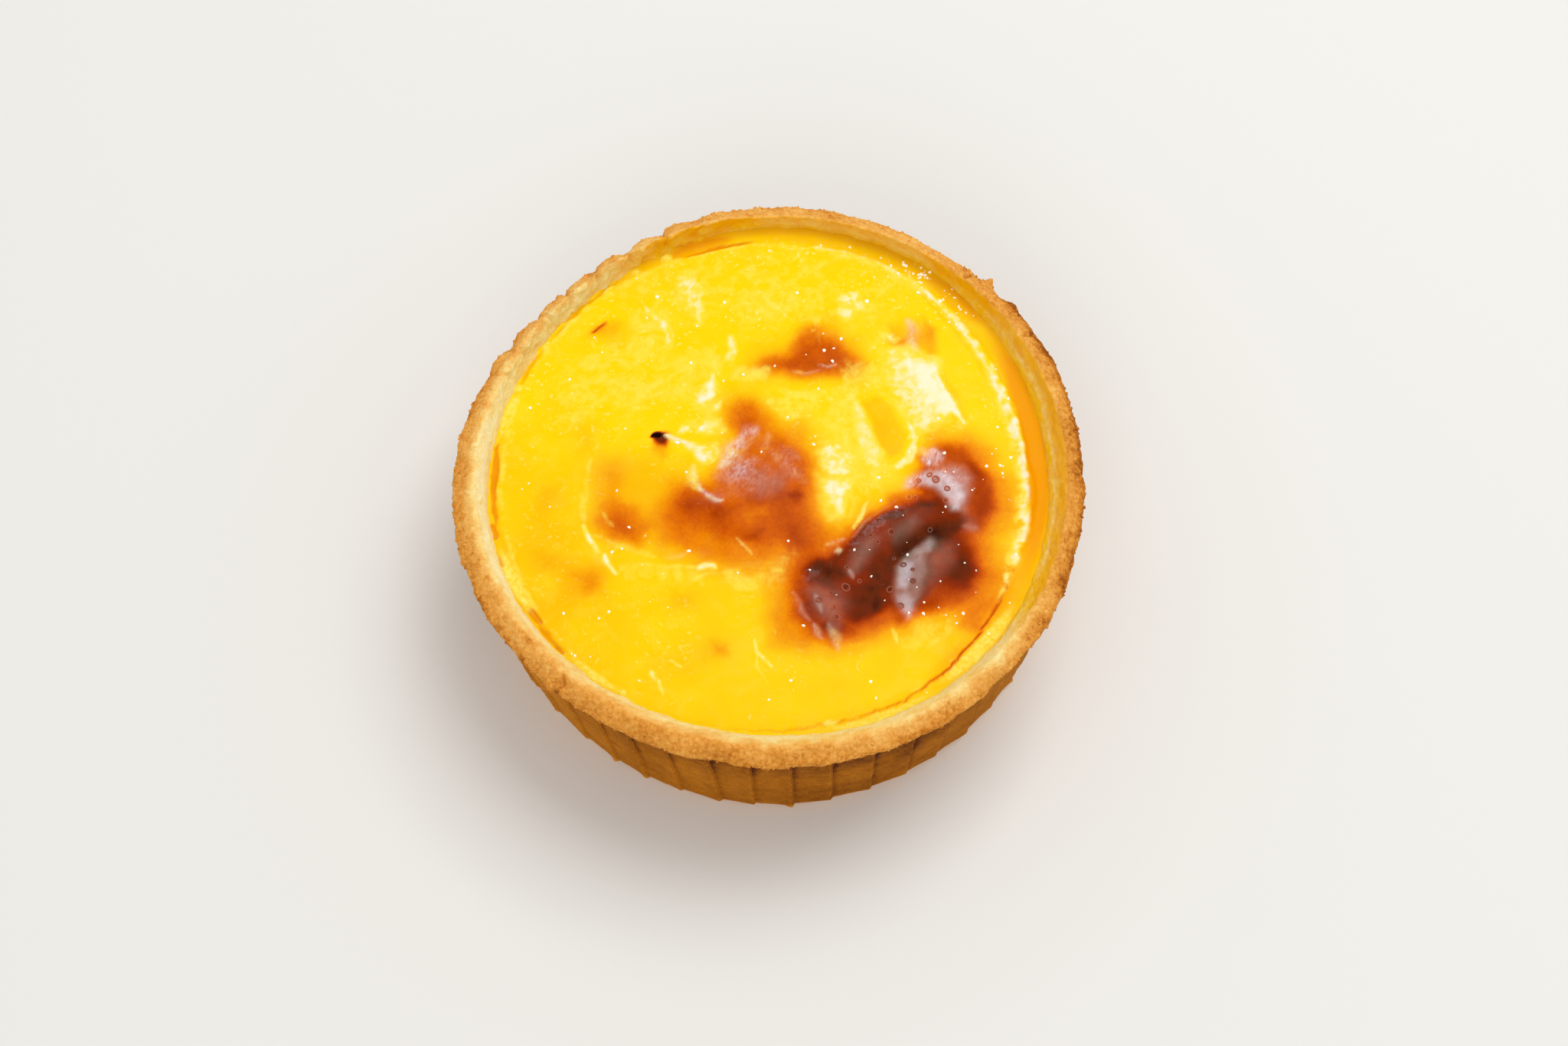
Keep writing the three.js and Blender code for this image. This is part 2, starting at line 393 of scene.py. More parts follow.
# What is scattered: radius and lumpiness of a bit, how many to a square metre at most, the least and
# greatest factor on their size, the seed, and how they lie.
BURRS = {"radius": 0.26, "depth": 0.3, "density": 6.0e5, "sizes": (0.4, 1.3), "seed": 23, "sink": 0.1}
CRUMBS = {"radius": 0.22, "depth": 0.3, "density": 9.0e5, "sizes": (0.5, 1.5), "seed": 11, "sink": 0.04}
GRAINS = {"radius": 0.27, "depth": 0.35, "density": 3.6e4, "sizes": (0.35, 1.3), "seed": 37, "sink": 0.02}
GRAINS.update({"tumble": 0.5, "flatness": 0.65})


def lumpy_bit(tree, radius, depth):
    """A small uneven grain."""
    sizes = {"Segments": 7, "Rings": 5, "Radius": radius}
    ball = tree.make("GeometryNodeMeshUVSphere", sizes).outputs[0]
    return tree.pushed(ball, tree.swell(radius, depth, count=1.3))


def scattered(tree, bit, density, sizes, seed, sink, tumble=ANY_TURN, flatness=1.0):
    """Puts copies of a bit over the tree's surface, turned, stretched and sunk into it. Sizes are
    the smallest and the largest, and tumble is how far, in radians, a bit may be tipped."""
    inputs = {"Mesh": tree.geometry, "Density": density, "Seed": seed}
    spread = tree.make("GeometryNodeDistributePointsOnFaces", inputs)
    turn = tree.random_vector((0.0, 0.0, 0.0), (tumble, tumble, ANY_TURN), seed + 1)
    inputs = {2: sizes[0], 3: sizes[1], "Seed": seed + 2}
    size = tree.make("FunctionNodeRandomValue", inputs).outputs[1]
    least, most = (0.7, 0.7, 0.7 * flatness), (1.25, 1.25, 1.25 * flatness)
    scale = tree.scaled(tree.random_vector(least, most, seed + 3), size)
    settled = tree.moved(spread.outputs["Points"], tree.scaled(spread.outputs["Normal"], -sink * MM))
    inputs = {"Points": settled, "Instance": bit, "Rotation": turn, "Scale": scale}
    return tree.make("GeometryNodeInstanceOnPoints", inputs).outputs[0]


def grow_bits(piece, name, material, share, radius, depth, density, sizes, seed, **lie):
    """Grows lumpy bits on a piece, and gives them as a piece of their own. Each point of the first
    holds its share of the full density. The new piece's name ends in what the bits are called."""
    title = name.replace("_", " ").capitalize()
    bits = title.split()[1].capitalize()
    tree = Growth(title)
    radius = tree.size(bits[:-1] + " radius", radius * MM)
    density = tree.size(bits + " per square metre", density)
    bit = lumpy_bit(tree, radius, depth * MM)
    density = tree.times(density, tree.read(share))
    return tree.grow(piece, name, scattered(tree, bit, density, sizes, seed, **lie), material)


# ---------------------------------------------------------------- finishes


def srgb(red, green, blue):
    """A colour given as screen values from 0 to 255, in the linear light that a shader uses."""
    shares = [channel / 255 for channel in (red, green, blue)]
    linear = [s / 12.92 if s <= 0.04045 else ((s + 0.055) / 1.055) ** 2.4 for s in shares]
    return (*linear, 1.0)


class Paint(Nodes):
    """A material under construction, with its Principled shader."""

    def __init__(self, name, **constants):
        self.material = bpy.data.materials.new(name)
        self.material.use_nodes = True
        super().__init__(self.material.node_tree)
        self.shader = self.tree.nodes["Principled BSDF"]
        for socket, value in constants.items():
            self.shader.inputs[socket.replace("_", " ")].default_value = value
        self.place = self.make("ShaderNodeTexCoord").outputs["Object"]

    def wire(self, socket, value):
        self.tree.links.new(value, self.shader.inputs[socket])

    def read(self, name):
        """A number that the piece holds at each point."""
        return self.make("ShaderNodeAttribute", attribute_name=name).outputs["Fac"]

    def grain(self, size_mm, detail=3.0, rough=0.55, twist=0.0, stretch=None, turn=0.0):
        """Noise from about 0 to 1 with lumps of a size. Stretch draws it out along X, Y and Z, which
        are first turned about Z by some degrees."""
        place = self.place
        if stretch is not None:
            inputs = {"Vector": place, "Scale": stretch, "Rotation": (0.0, 0.0, math.radians(turn))}
            place = self.make("ShaderNodeMapping", inputs, vector_type="TEXTURE").outputs[0]
        sizes = {"Vector": place, "Scale": 1 / (size_mm * MM), "Detail": detail}
        node = self.make("ShaderNodeTexNoise", {**sizes, "Roughness": rough, "Distortion": twist})
        return node.outputs["Fac"]

    def swing(self, value, depth):
        """A value from 0 to 1 made to swing about 0 within a depth."""
        return self.fitted(value, depth, -depth / 2)

    def grits(self, size_mm):
        """A random number from 0 to 1 for each of many close grains of a size, and the distance from
        its middle."""
        inputs = {"Vector": self.place, "Scale": 1 / (size_mm * MM)}
        node = self.make("ShaderNodeTexVoronoi", inputs)
        own = self.make("ShaderNodeSeparateColor", {0: node.outputs["Color"]}).outputs[0]
        return own, node.outputs["Distance"]

    def ramp(self, value, stops):
        """Colours along a value. Each stop is a place, red, green and blue."""
        node = self.make("ShaderNodeValToRGB", {0: value})
        elements = node.color_ramp.elements
        while len(elements) < len(stops):
            elements.new(0.5)
        for element, (place, *colour) in zip(elements, stops):
            element.position = place
            element.color = srgb(*colour)
        return node.outputs["Color"]

    def blend(self, share, below, above):
        inputs = {0: share, 6: below, 7: above}
        return self.make("ShaderNodeMix", inputs, data_type="RGBA").outputs[2]

    def blend_value(self, share, below, above):
        """A number between two others."""
        inputs = {0: share, 2: below, 3: above}
        return self.make("ShaderNodeMix", inputs, data_type="FLOAT").outputs[0]

    def span(self, value, low, high, new_low, new_high):
        """Moves a value from one range to another, without leaving the new one."""
        inputs = {0: value, 1: low, 2: high, 3: new_low, 4: new_high}
        return self.make("ShaderNodeMapRange", inputs).outputs[0]

    def bump(self, height, depth_mm, strength, under=None):
        """Relief in the shading alone, on top of what may already be under it."""
        inputs = {"Height": height, "Distance": depth_mm * MM, "Strength": strength}
        if under is not None:
            inputs["Normal"] = under
        return self.make("ShaderNodeBump", inputs).outputs["Normal"]


def inner_glow(weight, blue):
    """Shader constants for light that wanders about a millimetre inside, red further than blue."""
    radius = (1.0, 0.5, blue)
    return {"Subsurface_Weight": weight, "Subsurface_Scale": 1 * MM, "Subsurface_Radius": radius}


# Colours of shortcrust as it bakes, on the rim and down the wall, and where custard has soaked in,
# which on the bevel's shaded faces is partly painted shade: place, red, green, blue.
GOLDEN = [
    (0.0, 255, 240, 184), (0.2, 253, 223, 144), (0.4, 249, 200, 112),
    (0.55, 245, 182, 92), (0.68, 234, 162, 70), (0.8, 216, 140, 52),
    (0.9, 190, 114, 38), (1.0, 150, 80, 20),
]
BROWN = [
    (0.4, 244, 190, 96), (0.6, 226, 156, 56), (0.72, 198, 122, 24),
    (0.83, 165, 96, 10), (0.93, 120, 62, 3), (1.0, 82, 34, 3),
]
SOAKED_AND_SHADED = [(0.0, 255, 204, 26), (0.3, 250, 180, 4)]


def crust_finish():
    """Baked shortcrust: cream inside the rim, sandy gold on top, and browner down the wall."""
    paint = Paint("baked shortcrust", Roughness=0.85, Specular_IOR_Level=0.06, **inner_glow(0.08, 0.2))
    top, wall = paint.read("top"), paint.read("wall")
    blotches = paint.times(paint.swing(paint.grain(2.6), 0.3), paint.fitted(wall, -0.45, 1.0))
    sand = paint.swing(paint.grain(0.55, 3.0, 0.7), 0.44)
    own, middle = paint.grits(0.62)
    grits = paint.fitted(own, 0.16, paint.fitted(middle, 0.1, -0.13))
    sand = paint.times(sand, paint.fitted(top, 0.5, 0.5))
    sand = paint.fitted(grits, paint.fitted(top, 0.75, 0.1), sand)
    brushed = paint.grain(2.2, 4.0, 0.7, 0.8, stretch=(1.0, 1.0, 0.85))
    brushed = paint.times(paint.swing(brushed, 0.08), wall)
    uneven = paint.plus(paint.plus(paint.read("bake_and_shade"), blotches), sand)
    uneven = paint.plus(uneven, brushed)
    colour = paint.blend(wall, paint.ramp(uneven, GOLDEN), paint.ramp(uneven, BROWN))
    # Custard soaked into the bevel, partly painted shade.
    stain_and_shade = paint.times(paint.read("stain_and_shade"), paint.span(paint.grain(2.5, 3.0), 0.3, 0.6, 0.8, 1.0))
    colour = paint.blend(stain_and_shade, colour, paint.ramp(paint.read("bake_and_shade"), SOAKED_AND_SHADED))
    paint.wire("Base Color", colour)
    crumbs = paint.bump(sand, 0.6, 0.9, paint.bump(brushed, 0.9, 0.3))
    paint.wire("Normal", paint.bump(paint.grain(0.16, 2.0), 0.04, 0.5, crumbs))
    return paint.material


# Colours of the custard's skin as it is toasted, and of torn custard: place, red, green, blue.
SCORCHING = [
    (0.0, 251, 217, 0), (0.14, 251, 203, 0), (0.27, 249, 176, 0),
    (0.42, 236, 132, 0), (0.56, 210, 92, 0), (0.68, 176, 64, 0),
    (0.77, 138, 42, 2), (0.87, 98, 38, 12), (1.0, 24, 5, 2),
]
CRUMBLY = [(0.35, 246, 216, 30), (0.65, 253, 240, 116)]
PALE = srgb(252, 229, 84)
FLECK = srgb(254, 238, 130)
# A milk white that is partly a painted reflection, and the warm and cool colours of painted highlights.
MILK_AND_REFLECTION_WHITE = srgb(252, 244, 208)
WARM_PAINTED_GLEAM = srgb(228, 200, 180)
COOL_PAINTED_GLEAM = srgb(236, 228, 234)
AMBER = srgb(240, 160, 0)


def scorched(paint, toast, soft):
    """The skin's own colour: clear yellow, through orange, to scorched brown."""
    fine = paint.swing(paint.grain(0.6, 4.0, 0.75), 0.3)
    fine = paint.times(fine, paint.span(toast, 0.1, 0.5, 0.1, 1.0))
    fine = paint.times(fine, paint.span(toast, 0.5, 0.75, 0.8, 0.35))
    return paint.ramp(paint.plus(toast, paint.plus(soft, fine)), SCORCHING)


def marbled(paint, colour, toast, milk_and_reflection):
    """Pale marbling, and fine flecks where the skin isn't toasted."""
    marbling = paint.fitted(paint.grain(5.0, 5.0, 0.6, 1.4), 1.4, -0.66)
    pale = paint.span(paint.plus(milk_and_reflection, marbling), 0.0, 0.5, 0.0, 0.85)
    faint = paint.span(toast, 0.1, 0.3, 0.35, 0.0)
    pale = paint.times(pale, paint.math("MAXIMUM", faint, paint.span(milk_and_reflection, 0.0, 0.1, 0.0, 1.0)))
    colour = paint.blend(pale, colour, PALE)
    flecks = paint.span(paint.grain(0.8, 1.5, 0.5), 0.62, 0.72, 0.0, 0.65)
    flecks = paint.times(flecks, paint.span(toast, 0.03, 0.11, 1.0, 0.4))
    flecks = paint.times(flecks, paint.span(toast, 0.2, 0.45, 1.0, 0.0))
    flecks = paint.times(flecks, paint.span(paint.grain(7.0, 2.0), 0.42, 0.6, 0.1, 1.0))
    return paint.blend(flecks, colour, FLECK)


def with_painted_gleams(paint, colour, toast, strands):
    """Painted highlights, feathered, and evener where the skin is scorched."""
    painted_sheen = paint.read("painted_sheen")
    feathers = paint.span(strands, 0.38, 0.64, 0.2, 1.3)
    even = paint.span(strands, 0.35, 0.65, 0.9, 1.1)
    feathers = paint.blend_value(paint.span(toast, 0.58, 0.68, 0.0, 1.0), feathers, even)
    painted_gleam = paint.blend(paint.span(painted_sheen, 0.15, 0.45, 0.0, 1.0), WARM_PAINTED_GLEAM, COOL_PAINTED_GLEAM)
    return paint.blend(paint.times(painted_sheen, feathers, clamp=True), colour, painted_gleam)


def custard_finish():
    """Baked custard skin: scorched, marbled, milk-white in places with painted reflections and
    highlights, wet, and crumbly where it is torn.
    """
    paint = Paint("baked custard", IOR=1.4, Specular_IOR_Level=0.27, **inner_glow(0.05, 0.08))
    soft = paint.swing(paint.grain(6.0, 3.0), 0.1)
    toast = paint.read("toast")
    colour = scorched(paint, toast, soft)
    milk_and_reflection = paint.read("milk_and_reflection")
    colour = marbled(paint, colour, toast, milk_and_reflection)
    film = paint.grain(1.8, 3.0, 0.6, 0.6)
    strands = paint.grain(0.6, 3.0, 0.6, 0.8, stretch=(2.0, 1.0, 1.0), turn=66)
    ragged = paint.fitted(strands, 0.5, paint.fitted(film, 0.6, -0.55))
    # Milk white, partly a painted reflection, broken up raggedly.
    colour = paint.blend(paint.span(paint.plus(milk_and_reflection, ragged), 0.35, 1.0, 0.0, 1.0), colour, MILK_AND_REFLECTION_WHITE)
    # Painted highlights over the scorched skin.
    colour = with_painted_gleams(paint, colour, toast, strands)
    colour = paint.blend(paint.read("amber"), colour, AMBER)
    torn = paint.read("torn")
    colour = paint.blend(torn, colour, paint.ramp(paint.grain(0.7, 3.0), CRUMBLY))
    paint.wire("Base Color", colour)
    wet = paint.span(paint.grain(2.4, 2.0), 0.3, 0.7, 0.13, 0.22)
    paint.wire("Roughness", paint.fitted(torn, 0.3, wet))
    pits = paint.span(paint.grain(0.7, 1.0), 0.28, 0.4, -1.0, 0.0)
    pits = paint.times(pits, paint.span(toast, 0.5, 0.8, 0.0, 1.0))
    ripple = paint.bump(paint.grain(1.3, 4.0, 0.6), 0.04, 0.4)
    dimpled = paint.bump(pits, 0.1, 0.4, ripple)
    paint.wire("Normal", paint.bump(paint.grain(0.3, 2.0), 0.012, 0.4, dimpled))
    return paint.material


def sugar_finish():
    """Coarse sugar grains, white and rough, with a faint painted glow that stands in for the light that
    they pass on.
    """
    # A painted glow: the grains give off faint light in their own colour.
    paint = Paint("sugar grain", Roughness=0.5, Emission_Strength=0.12)
    colour = paint.ramp(paint.grain(1.5), [(0.3, 255, 250, 222), (0.7, 255, 255, 248)])
    paint.wire("Base Color", colour)
    paint.wire("Emission Color", colour)
    return paint.material


# ---------------------------------------------------------------- the pastry case

# The corners of the case's section, from the middle of the underside, up the wall, over the rim and
# down to the middle of the floor. Course numbers the parts of the section: the wall runs from 0 to
# 1, the lip's edge to 2, the browned top to 3 and the bevel to 4. Then come how much the corner
# takes of the outlines of foot, lip, crest and brim, how far out it stands from there, and its
# height. Last come how much it takes of the pleats, of the crest's sway and of the ledge, and how
# far apart the rings that follow it are.
CORE_OFFSET = CORE_RADIUS - BASE_RADIUS
LIP_HEIGHT = CREST_HEIGHT - TOP_DROP
HEAD_HEIGHT = LIP_HEIGHT - LIP_THICKNESS
CORNERS = [
    (-1.0, 1, 0, 0, 0, CORE_OFFSET, 0, 0, 0, 0, 14),
    (-0.2, 1, 0, 0, 0, -BASE_ROUNDING, 0, 0.6, 0, 0, 0.45),
    (0.0, 1, 0, 0, 0, 0, BASE_ROUNDING, 1, 0, 0, 0.85),
    (1.0, 0, 1, 0, 0, -LIP_OVERHANG, HEAD_HEIGHT - 0.15, 1, 0.5, 0, 0.25),
    (1.4, 0, 1, 0, 0, -0.3 * LIP_OVERHANG, HEAD_HEIGHT + 0.1, 0.5, 0.8, 0, 0.22),
    (2.0, 0, 1, 0, 0, 0, LIP_HEIGHT - 0.25, 0.25, 1, 0, 0.25),
    (2.15, 0, 0.88, 0.12, 0, 0, LIP_HEIGHT + 0.25, 0.12, 1, 0, 0.25),
    (2.7, 0, 0.3, 0.7, 0, 0, CREST_HEIGHT - 0.25 * TOP_DROP, 0.08, 1, 0, 0.25),
    (3.0, 0, 0, 1, 0, 0, CREST_HEIGHT, 0, 1, 0, 0.25),
    (3.3, 0, 0, 0.75, 0.25, 0, CREST_HEIGHT - 0.14 * BEVEL_DROP, 0, 1, 0.7, 0.3),
    (3.7, 0, 0, 0.3, 0.7, 0, CREST_HEIGHT - 0.58 * BEVEL_DROP, 0, 0.6, 0.6, 0.3),
    (4.0, 0, 0, 0, 1, 0, BRIM_HEIGHT, 0, 0.1, 0, 0.5),
    (4.4, 0, 0, 0, 1, -0.4, BRIM_HEIGHT - 2, 0, 0, 0, 9),
    (5.0, 1, 0, 0, 0, -WALL_THICKNESS, FLOOR_HEIGHT + FLOOR_ROUNDING, 0, 0, 0, 2),
    (5.2, 1, 0, 0, 0, -WALL_THICKNESS - FLOOR_ROUNDING, FLOOR_HEIGHT, 0, 0, 0, 18),
    (6.0, 1, 0, 0, 0, CORE_OFFSET, FLOOR_HEIGHT, 0, 0, 0, 18),
]

# Where the section's corners are rounded: first and last course, and how many times.
ROUNDINGS = [(-0.15, 4.3, 2), (2.2, 3.9, 9)]


def case_rings():
    """The case's section as rings, with its corners filled in and rounded. Each row is like a row
    of CORNERS without the last number."""
    outlines = np.array([BASE_RADIUS, LIP_RADIUS, CREST_RADIUS, BRIM_RADIUS])
    rows = []
    for start, end in zip(np.array(CORNERS), np.array(CORNERS)[1:]):
        across = (end - start)[1:5] @ outlines + end[5] - start[5]
        steps = max(1, round(math.hypot(across, end[6] - start[6]) / start[10]))
        rows += [start + (end - start) * step / steps for step in range(steps)]
    rings = np.array([*rows, CORNERS[-1]])[:, :10]
    for start, end, passes in ROUNDINGS:
        bent = (rings[1:-1, 0] > start) & (rings[1:-1, 0] < end)
        for _ in range(passes):
            evened = (rings[:-2] + 2 * rings[1:-1] + rings[2:]) / 4
            rings[1:-1][bent, 1:] = evened[bent, 1:]
    return rings


def closed_rings(rings, start, end):
    """Joins rings of points, and a point at each end, into one closed surface that faces out."""
    count = rings.shape[1]
    points = np.vstack([[start], rings.reshape(-1, 3), [end]])
    column = np.arange(count)
    after = (column + 1) % count
    faces = [(0, 1 + b, 1 + a) for a, b in zip(column, after)]
    for ring in range(len(rings) - 1):
        low = 1 + ring * count
        high = low + count
        faces += np.stack([low + column, low + after, high + after, high + column], 1).tolist()
    top = 1 + (len(rings) - 1) * count
    last = len(points) - 1
    faces += [(top + a, top + b, last) for a, b in zip(column, after)]
    return points, faces


# Places on the rim's edge that stand out: angle, half-width in degrees, and how far.
LIP_TIPS = [
    (44.6, 0.7, 1.4), (41, 1.5, -0.5), (46.6, 0.8, -0.4), (37.6, 1, 0.7),
    (-58, 7, 0.4), (-100, 6, -0.25), (-133.5, 1.5, 0.5), (111.5, 0.8, 0.5),
    (129.5, 1.2, 0.5), (137.5, 0.6, 0.6), (-24, 2, 0.3),
]

# Cracks across the rim's top: angle, half-width in degrees, depth.
LIP_CRACKS = [
    (48, 0.35, 0.7), (30.6, 0.35, 0.7), (-131.5, 0.35, 0.8),
    (-102, 0.3, 0.3), (-24.8, 0.3, 0.4), (136.5, 0.35, 0.5),
]

# Toasted places on the rim: angle, half-width in degrees, course, strength.
RIM_TOAST = [
    (-157, 2.2, 2.9, 0.5), (-143, 4.5, 2.95, 0.4), (-150, 12, 2.1, 0.22), (-140, 3, 2.15, 0.3),
    (-134, 1.6, 2, 0.35), (-172, 8, 2.4, 0.15), (-118, 2, 2.7, 0.35), (-98, 5, 2.5, 0.15),
    (-77, 2.5, 2.4, 0.3), (-61, 4, 2, 0.4), (-34, 6, 2.6, 0.12), (-23, 2.5, 2.4, 0.3),
    (3, 6, 2.4, 0.2), (27, 6, 2.2, 0.22), (38, 4, 2.2, 0.22), (64, 4, 2.4, 0.15),
    (79, 5, 2.5, 0.2), (103, 2, 2.6, 0.25), (111.5, 1.8, 2.5, 0.35), (150, 6, 2.1, 0.3),
    (128, 3, 2.1, 0.25), (112.6, 1.3, 2.95, 0.3), (118.6, 1.5, 2.9, 0.35), (124.6, 1.6, 2.9, 0.3),
    (136, 2, 2.8, 0.25), (143, 2.2, 2.8, 0.25), (165, 9, 2.2, 0.25),
]

# How the rim is browned: angle, how far the pale inside reaches over the rim, and how brown.
RIM_BROWNING = [
    (-180, 0.4, 0.64), (-160, 0.25, 0.64), (-140, -0.05, 0.64), (-120, -0.1, 0.7),
    (-100, -0.1, 0.7), (-80, 0.1, 0.68), (-60, 0.4, 0.64), (-40, 0.4, 0.62),
    (-20, 0, 0.66), (0, 0, 0.7), (20, 0, 0.68), (40, 0, 0.66),
    (60, 0, 0.58), (80, 0, 0.62), (100, 0, 0.6), (120, 0.15, 0.56),
    (140, 0.3, 0.58), (160, 0.25, 0.62), (180, 0.4, 0.64),
]


class Case:
    """The case's surface before any relief, as a grid: a row for each ring of its section, and a
    column for each place along the pleats. A part's mask is 1 on that part and 0 off it."""

    def __init__(self):
        columns = (column[:, None] for column in case_rings().T)
        self.course, foot, lip, crest, brim, offset, self.z, self.pleating, sway, ledge = columns
        self.angle, self.share = self.placed_pleats()
        self.mark_parts()
        wave = wave_sum(RIM_WAVES, self.angle)
        self.radius = foot * (BASE_RADIUS + BASE_FOLLOW * wave) + lip * (LIP_RADIUS + wave)
        self.radius += crest * crest_radius(self.angle) + brim * brim_radius(self.angle) + offset
        drop = ledge * (self.right_side - 0.6 * self.lobed_side)
        self.height = self.z + sway * crest_wave(self.angle) - drop
        x, y = polar(self.angle, self.radius)
        self.spot = np.stack([x, y, self.height], -1).reshape(-1, 3)
        self.mark_relief()

    def placed_pleats(self):
        """The angle of each place, and its share of the way from one seam to the next. The columns
        crowd at the seams, and below the head of the wall each pleat leans by its own amount."""
        pleats = np.arange(PLEAT_COUNT).repeat(COLUMNS_PER_PLEAT)[None, :]
        share = np.tile(np.arange(COLUMNS_PER_PLEAT) / COLUMNS_PER_PLEAT, PLEAT_COUNT)[None, :]
        crowd = 0.75 * smooth(-0.2, 0, self.course) * (1 - smooth(1.0, 1.7, self.course))
        share = share - crowd * np.sin(2 * np.pi * share) / (2 * np.pi)
        below_head = np.clip(1 - self.z / CREST_HEIGHT, 0, 1) * np.minimum(self.pleating * 3, 1)
        own = hashed(np.arange(PLEAT_COUNT + 1) % PLEAT_COUNT, 0, 3, 5) - 0.5
        leans = PLEAT_LEAN + PLEAT_LEAN_SPREAD * own
        lean = leans[pleats] * (1 - share) + leans[pleats + 1] * share
        return pleat_angle(pleats + share) + below_head * lean, share

    def mark_parts(self):
        """Masks of the parts of the section, and of the sides of the tart."""
        self.wall = between(0.05, 0.95, 0.1, self.course)
        self.edge = between(1.3, 2.2, 0.3, self.course)
        self.top = between(2.0, 2.95, 0.25, self.course)
        self.bevel = between(3.2, 4.0, 0.3, self.course)
        self.low = gauss((self.z - 1.0) / 0.9) * smooth(-0.2, 0, self.course)
        self.right_side = around(self.angle, -26, 46, 14)
        self.back_side = around(self.angle, 52, 112, 16)
        self.lobed_side = around(self.angle, 110, 152, 14)
        self.front_side = around(self.angle, -115, -60, 25)

    def mark_relief(self):
        """Burrs, scallops, folds and cracks, which both the relief and the browning follow."""
        self.ridge = gauss((self.share - PLEAT_RIDGE + 0.012) / 0.018)
        self.broken = smooth(-0.35, 0.25, self.lumps(1.5, 21, 2))
        self.scallop = np.abs(np.sin(np.pi * self.share)) - 0.6
        wander = 0.35 * self.lumps(6, 18) + 0.1 * self.lumps(1.5, 19)
        lobe = np.abs(np.sin(np.pi * (self.share + wander)))
        creased = self.lobed_side * between(2.1, 3.6, 0.4, self.course)
        self.crease = creased * (1 - smooth(0, 0.5, lobe))
        self.folds = self.bevel * self.lobed_side * self.lumps(2.4, 57, 2)
        self.crack = np.zeros(self.angle.shape)
        wander = 1.2 * self.lumps(2.0, 17)
        across = between(1.6, 2.75, 0.3, self.course)
        for at, half, depth in LIP_CRACKS:
            self.crack += depth * gauss(turn_between(self.angle, at + wander) / half) * across

    def lumps(self, size, seed, octaves=1):
        return fractal(self.spot, size, octaves, seed).reshape(self.angle.shape)


def wall_relief(case):
    """How far the wall stands out: its pleats, an uneven burr along each ridge, slow lumps, and
    flakes left at the foot."""
    depth = PLEAT_DEPTH * (1 + 0.4 * case.lumps(12, 4))
    bowed = pleat_profile(case.share) - 0.25 * np.sin(np.pi * case.share) ** 2
    out = case.pleating * depth * bowed
    out += 0.14 * case.wall * case.ridge * case.broken * (0.6 + case.lumps(0.9, 22))
    out += case.wall * (0.22 * case.lumps(8, 31) + 0.1 * case.lumps(2.2, 32, 2))
    out += 0.6 * case.low * gauss((case.share - 0.88) / 0.13) * smooth(0.1, 0.7, case.lumps(5, 8))
    return out


def rim_relief(case):
    """How far the rim stands out: scallops that follow the pleats, torn lumps and tips, the
    cracks, and the folds of the bevel."""
    out = case.edge * (0.12 + 0.5 * case.lobed_side) * case.scallop
    out += case.edge * (0.34 * case.lumps(4.2, 11) + 0.15 * case.lumps(1.3, 12, 2))
    for at, half, far in LIP_TIPS:
        out += case.edge * far * gauss(turn_between(case.angle, at) / half)
    out += case.bevel * (0.2 * case.lumps(4.5, 54) + 0.14 * case.lumps(1.6, 56, 2))
    out += 0.6 * case.crease * smooth(2.6, 3.2, case.course) + 0.5 * case.folds
    return out - 0.4 * case.crack


def rim_rise(case):
    """How far the rim's top and bevel stand up, and how far its lower edge hangs raggedly down."""
    up = case.top * (0.28 * case.lumps(7, 51) + 0.14 * case.lumps(2.6, 52))
    up += 0.2 * case.top * case.lobed_side * case.scallop - 0.6 * case.crack
    up += case.bevel * (0.2 * case.lumps(3.5, 53) + 0.1 * case.lumps(1.3, 55, 2))
    up += 0.6 * case.folds - 0.5 * case.crease
    hang = 0.36 * case.lumps(3.1, 41) + 0.36 * case.lumps(1.2, 42, 2)
    return up - between(1.0, 1.7, 0.4, case.course) * hang


def wall_browning_and_shade(case):
    """Darker and lighter places on the wall: slow blotches, painted shade along the seams, at the front
    and just under the lip, a painted highlight along each ridge, lighter towards the front left, and
    lighter at the foot.
    """
    # Painted shade along each seam, stronger higher up.
    seams = gauss(case.share / 0.11) * (0.35 + 0.65 * smooth(8, 29, case.z))
    # Slow blotches, the painted shade of the seams, and a painted highlight along each ridge.
    bake_and_shade = 0.05 * case.lumps(9, 60) + 0.13 * seams - 0.09 * case.ridge * case.broken
    # Painted shade on the front of the wall, higher up.
    bake_and_shade += 0.06 * case.front_side * smooth(14, 28, case.z)
    bake_and_shade -= 0.05 * around(case.angle, -150, -100, 20)
    # Painted shadow just under the lip.
    bake_and_shade += 0.06 * smooth(27, 29.5, case.z)
    return case.wall * bake_and_shade - 0.2 * (1 - smooth(0.5, 3, case.z)) * smooth(-0.3, 0, case.course)


